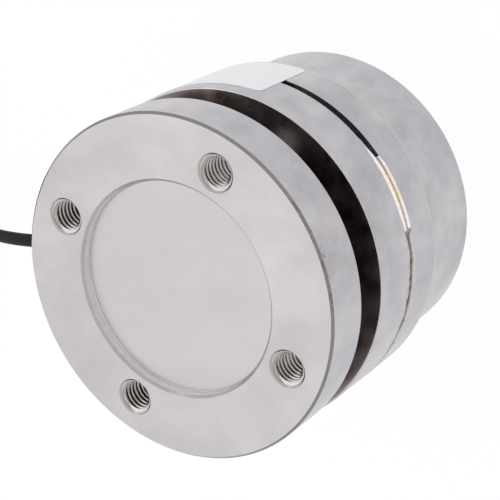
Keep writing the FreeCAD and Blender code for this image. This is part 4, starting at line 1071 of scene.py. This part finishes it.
GIVEN = {
    "neck_o_ring": "rubber", "foot_screws": "screw_steel", "dowel_pins": "screw_steel",
    "base_cover": "face_steel", "label": "label_film", "compensation_board": "board",
    "board_standoffs": "brass", "board_screws": "screw_steel", "board_terminals": "brass",
    "zero_resistor": "resistor_body", "span_resistor": "resistor_body",
    "temperature_resistor": "resistor_body", "gland_body": "plated_brass", "gland_nut": "plated_brass",
    "gland_gasket": "rubber", "gland_seal": "rubber", "bend_relief": "rubber",
    "cable_clamp": "plated_brass", "coil_ties": "tie_plastic", "end_sleeve": "sleeve_plastic",
}
for colour in ("red", "black", "green", "white"):
    GIVEN[colour + "_core"] = colour + "_insulation"
    GIVEN[colour + "_lead"] = colour + "_insulation"
for number in range(1, FLAT_COUNT + 1):
    GIVEN["strain_gauge_%d" % number] = "gauge_foil"
    GIVEN["terminal_pad_%d" % number] = "solder"
    GIVEN["gauge_lead_%d" % number] = "lead_enamel"
for node_name, material_name in GIVEN.items():
    mesh = nodes[node_name].data
    mesh.materials.clear()
    mesh.materials.append(MATERIALS[material_name])
    mesh.polygons.foreach_set("material_index", [0] * len(mesh.polygons))


# Floor, light and camera

FLOOR_HALF = 3.0
FLOOR_TONE = (0.93, 0.93, 0.93, 1.0)
FLOOR_WHITE = 0.96
LAMP_AIM = Vector((0, 0, 0.04))


def make_floor():
    """Pale floor that the camera, metal and glass see nearly white, with a very faint shadow."""
    half = FLOOR_HALF
    material = new_material("studio_floor")
    tree = material.node_tree
    output = tree.nodes["Material Output"]
    shader = tree.nodes["Principled BSDF"]
    shader.inputs["Base Color"].default_value = FLOOR_TONE
    shader.inputs["Roughness"].default_value = 0.9
    rays = add_node(material, "ShaderNodeLightPath").outputs
    mirrored = calculate(material, "MAXIMUM", rays["Is Glossy Ray"], rays["Is Transmission Ray"])
    seen = calculate(material, "MAXIMUM", rays["Is Camera Ray"], mirrored)
    white = add_node(material, "ShaderNodeEmission", i1=1.0)
    share = calculate(material, "MULTIPLY", seen, FLOOR_WHITE)
    mixed = add_node(material, "ShaderNodeMixShader", i0=share, i1=shader.outputs[0], i2=white.outputs[0])
    tree.links.new(mixed.outputs[0], output.inputs["Surface"])
    mesh = bpy.data.meshes.new("studio_floor")
    corners = [(-half, -half, 0), (half, -half, 0), (half, half, 0), (-half, half, 0)]
    mesh.from_pydata(corners, [], [(0, 1, 2, 3)])
    mesh.materials.append(material)
    floor = bpy.data.objects.new("studio_floor", mesh)
    bpy.context.collection.objects.link(floor)


def make_world():
    """Plain white studio, the same for every kind of ray."""
    world = bpy.data.worlds.new("studio")
    bpy.context.scene.world = world
    world.use_nodes = True
    background = world.node_tree.nodes["Background"]
    background.inputs["Color"].default_value = (1.0, 1.0, 1.0, 1.0)
    background.inputs["Strength"].default_value = 1.0


def make_lamps():
    """Two weak area lamps that look at the cell: one above it and one beside it."""
    for name, place_at, size, power in (
        ("key", (0.05, 0.05, 1.05), 0.5, 1.4),
        ("fill", (0.5, -0.45, 0.7), 0.6, 0.8),
    ):
        lamp = bpy.data.lights.new(name, "AREA")
        lamp.shape = "SQUARE"
        lamp.size = size
        lamp.energy = power
        item = bpy.data.objects.new(name, lamp)
        item.location = place_at
        towards = LAMP_AIM - Vector(place_at)
        item.rotation_euler = towards.to_track_quat("-Z", "Y").to_euler()
        bpy.context.collection.objects.link(item)


def make_camera():
    """Camera at the photograph's viewing angle."""
    right = Vector((-0.83217, 0.14367, -0.5356))
    up = Vector((0.03973, -0.94793, -0.316))
    forward = Vector((0.55313, 0.28425, -0.7831))
    camera = bpy.data.cameras.new("camera")
    camera.sensor_width = 36.0
    camera.lens = 111.84
    camera.clip_start = 0.01
    item = bpy.data.objects.new("camera", camera)
    turn = Matrix((right, up, -forward)).transposed().to_4x4()
    item.matrix_world = Matrix.Translation((-0.19926, -0.10139, 0.32071)) @ turn
    bpy.context.collection.objects.link(item)
    bpy.context.scene.camera = item


make_floor()
make_world()
make_lamps()
make_camera()
bpy.context.scene.view_settings.view_transform = "Standard"
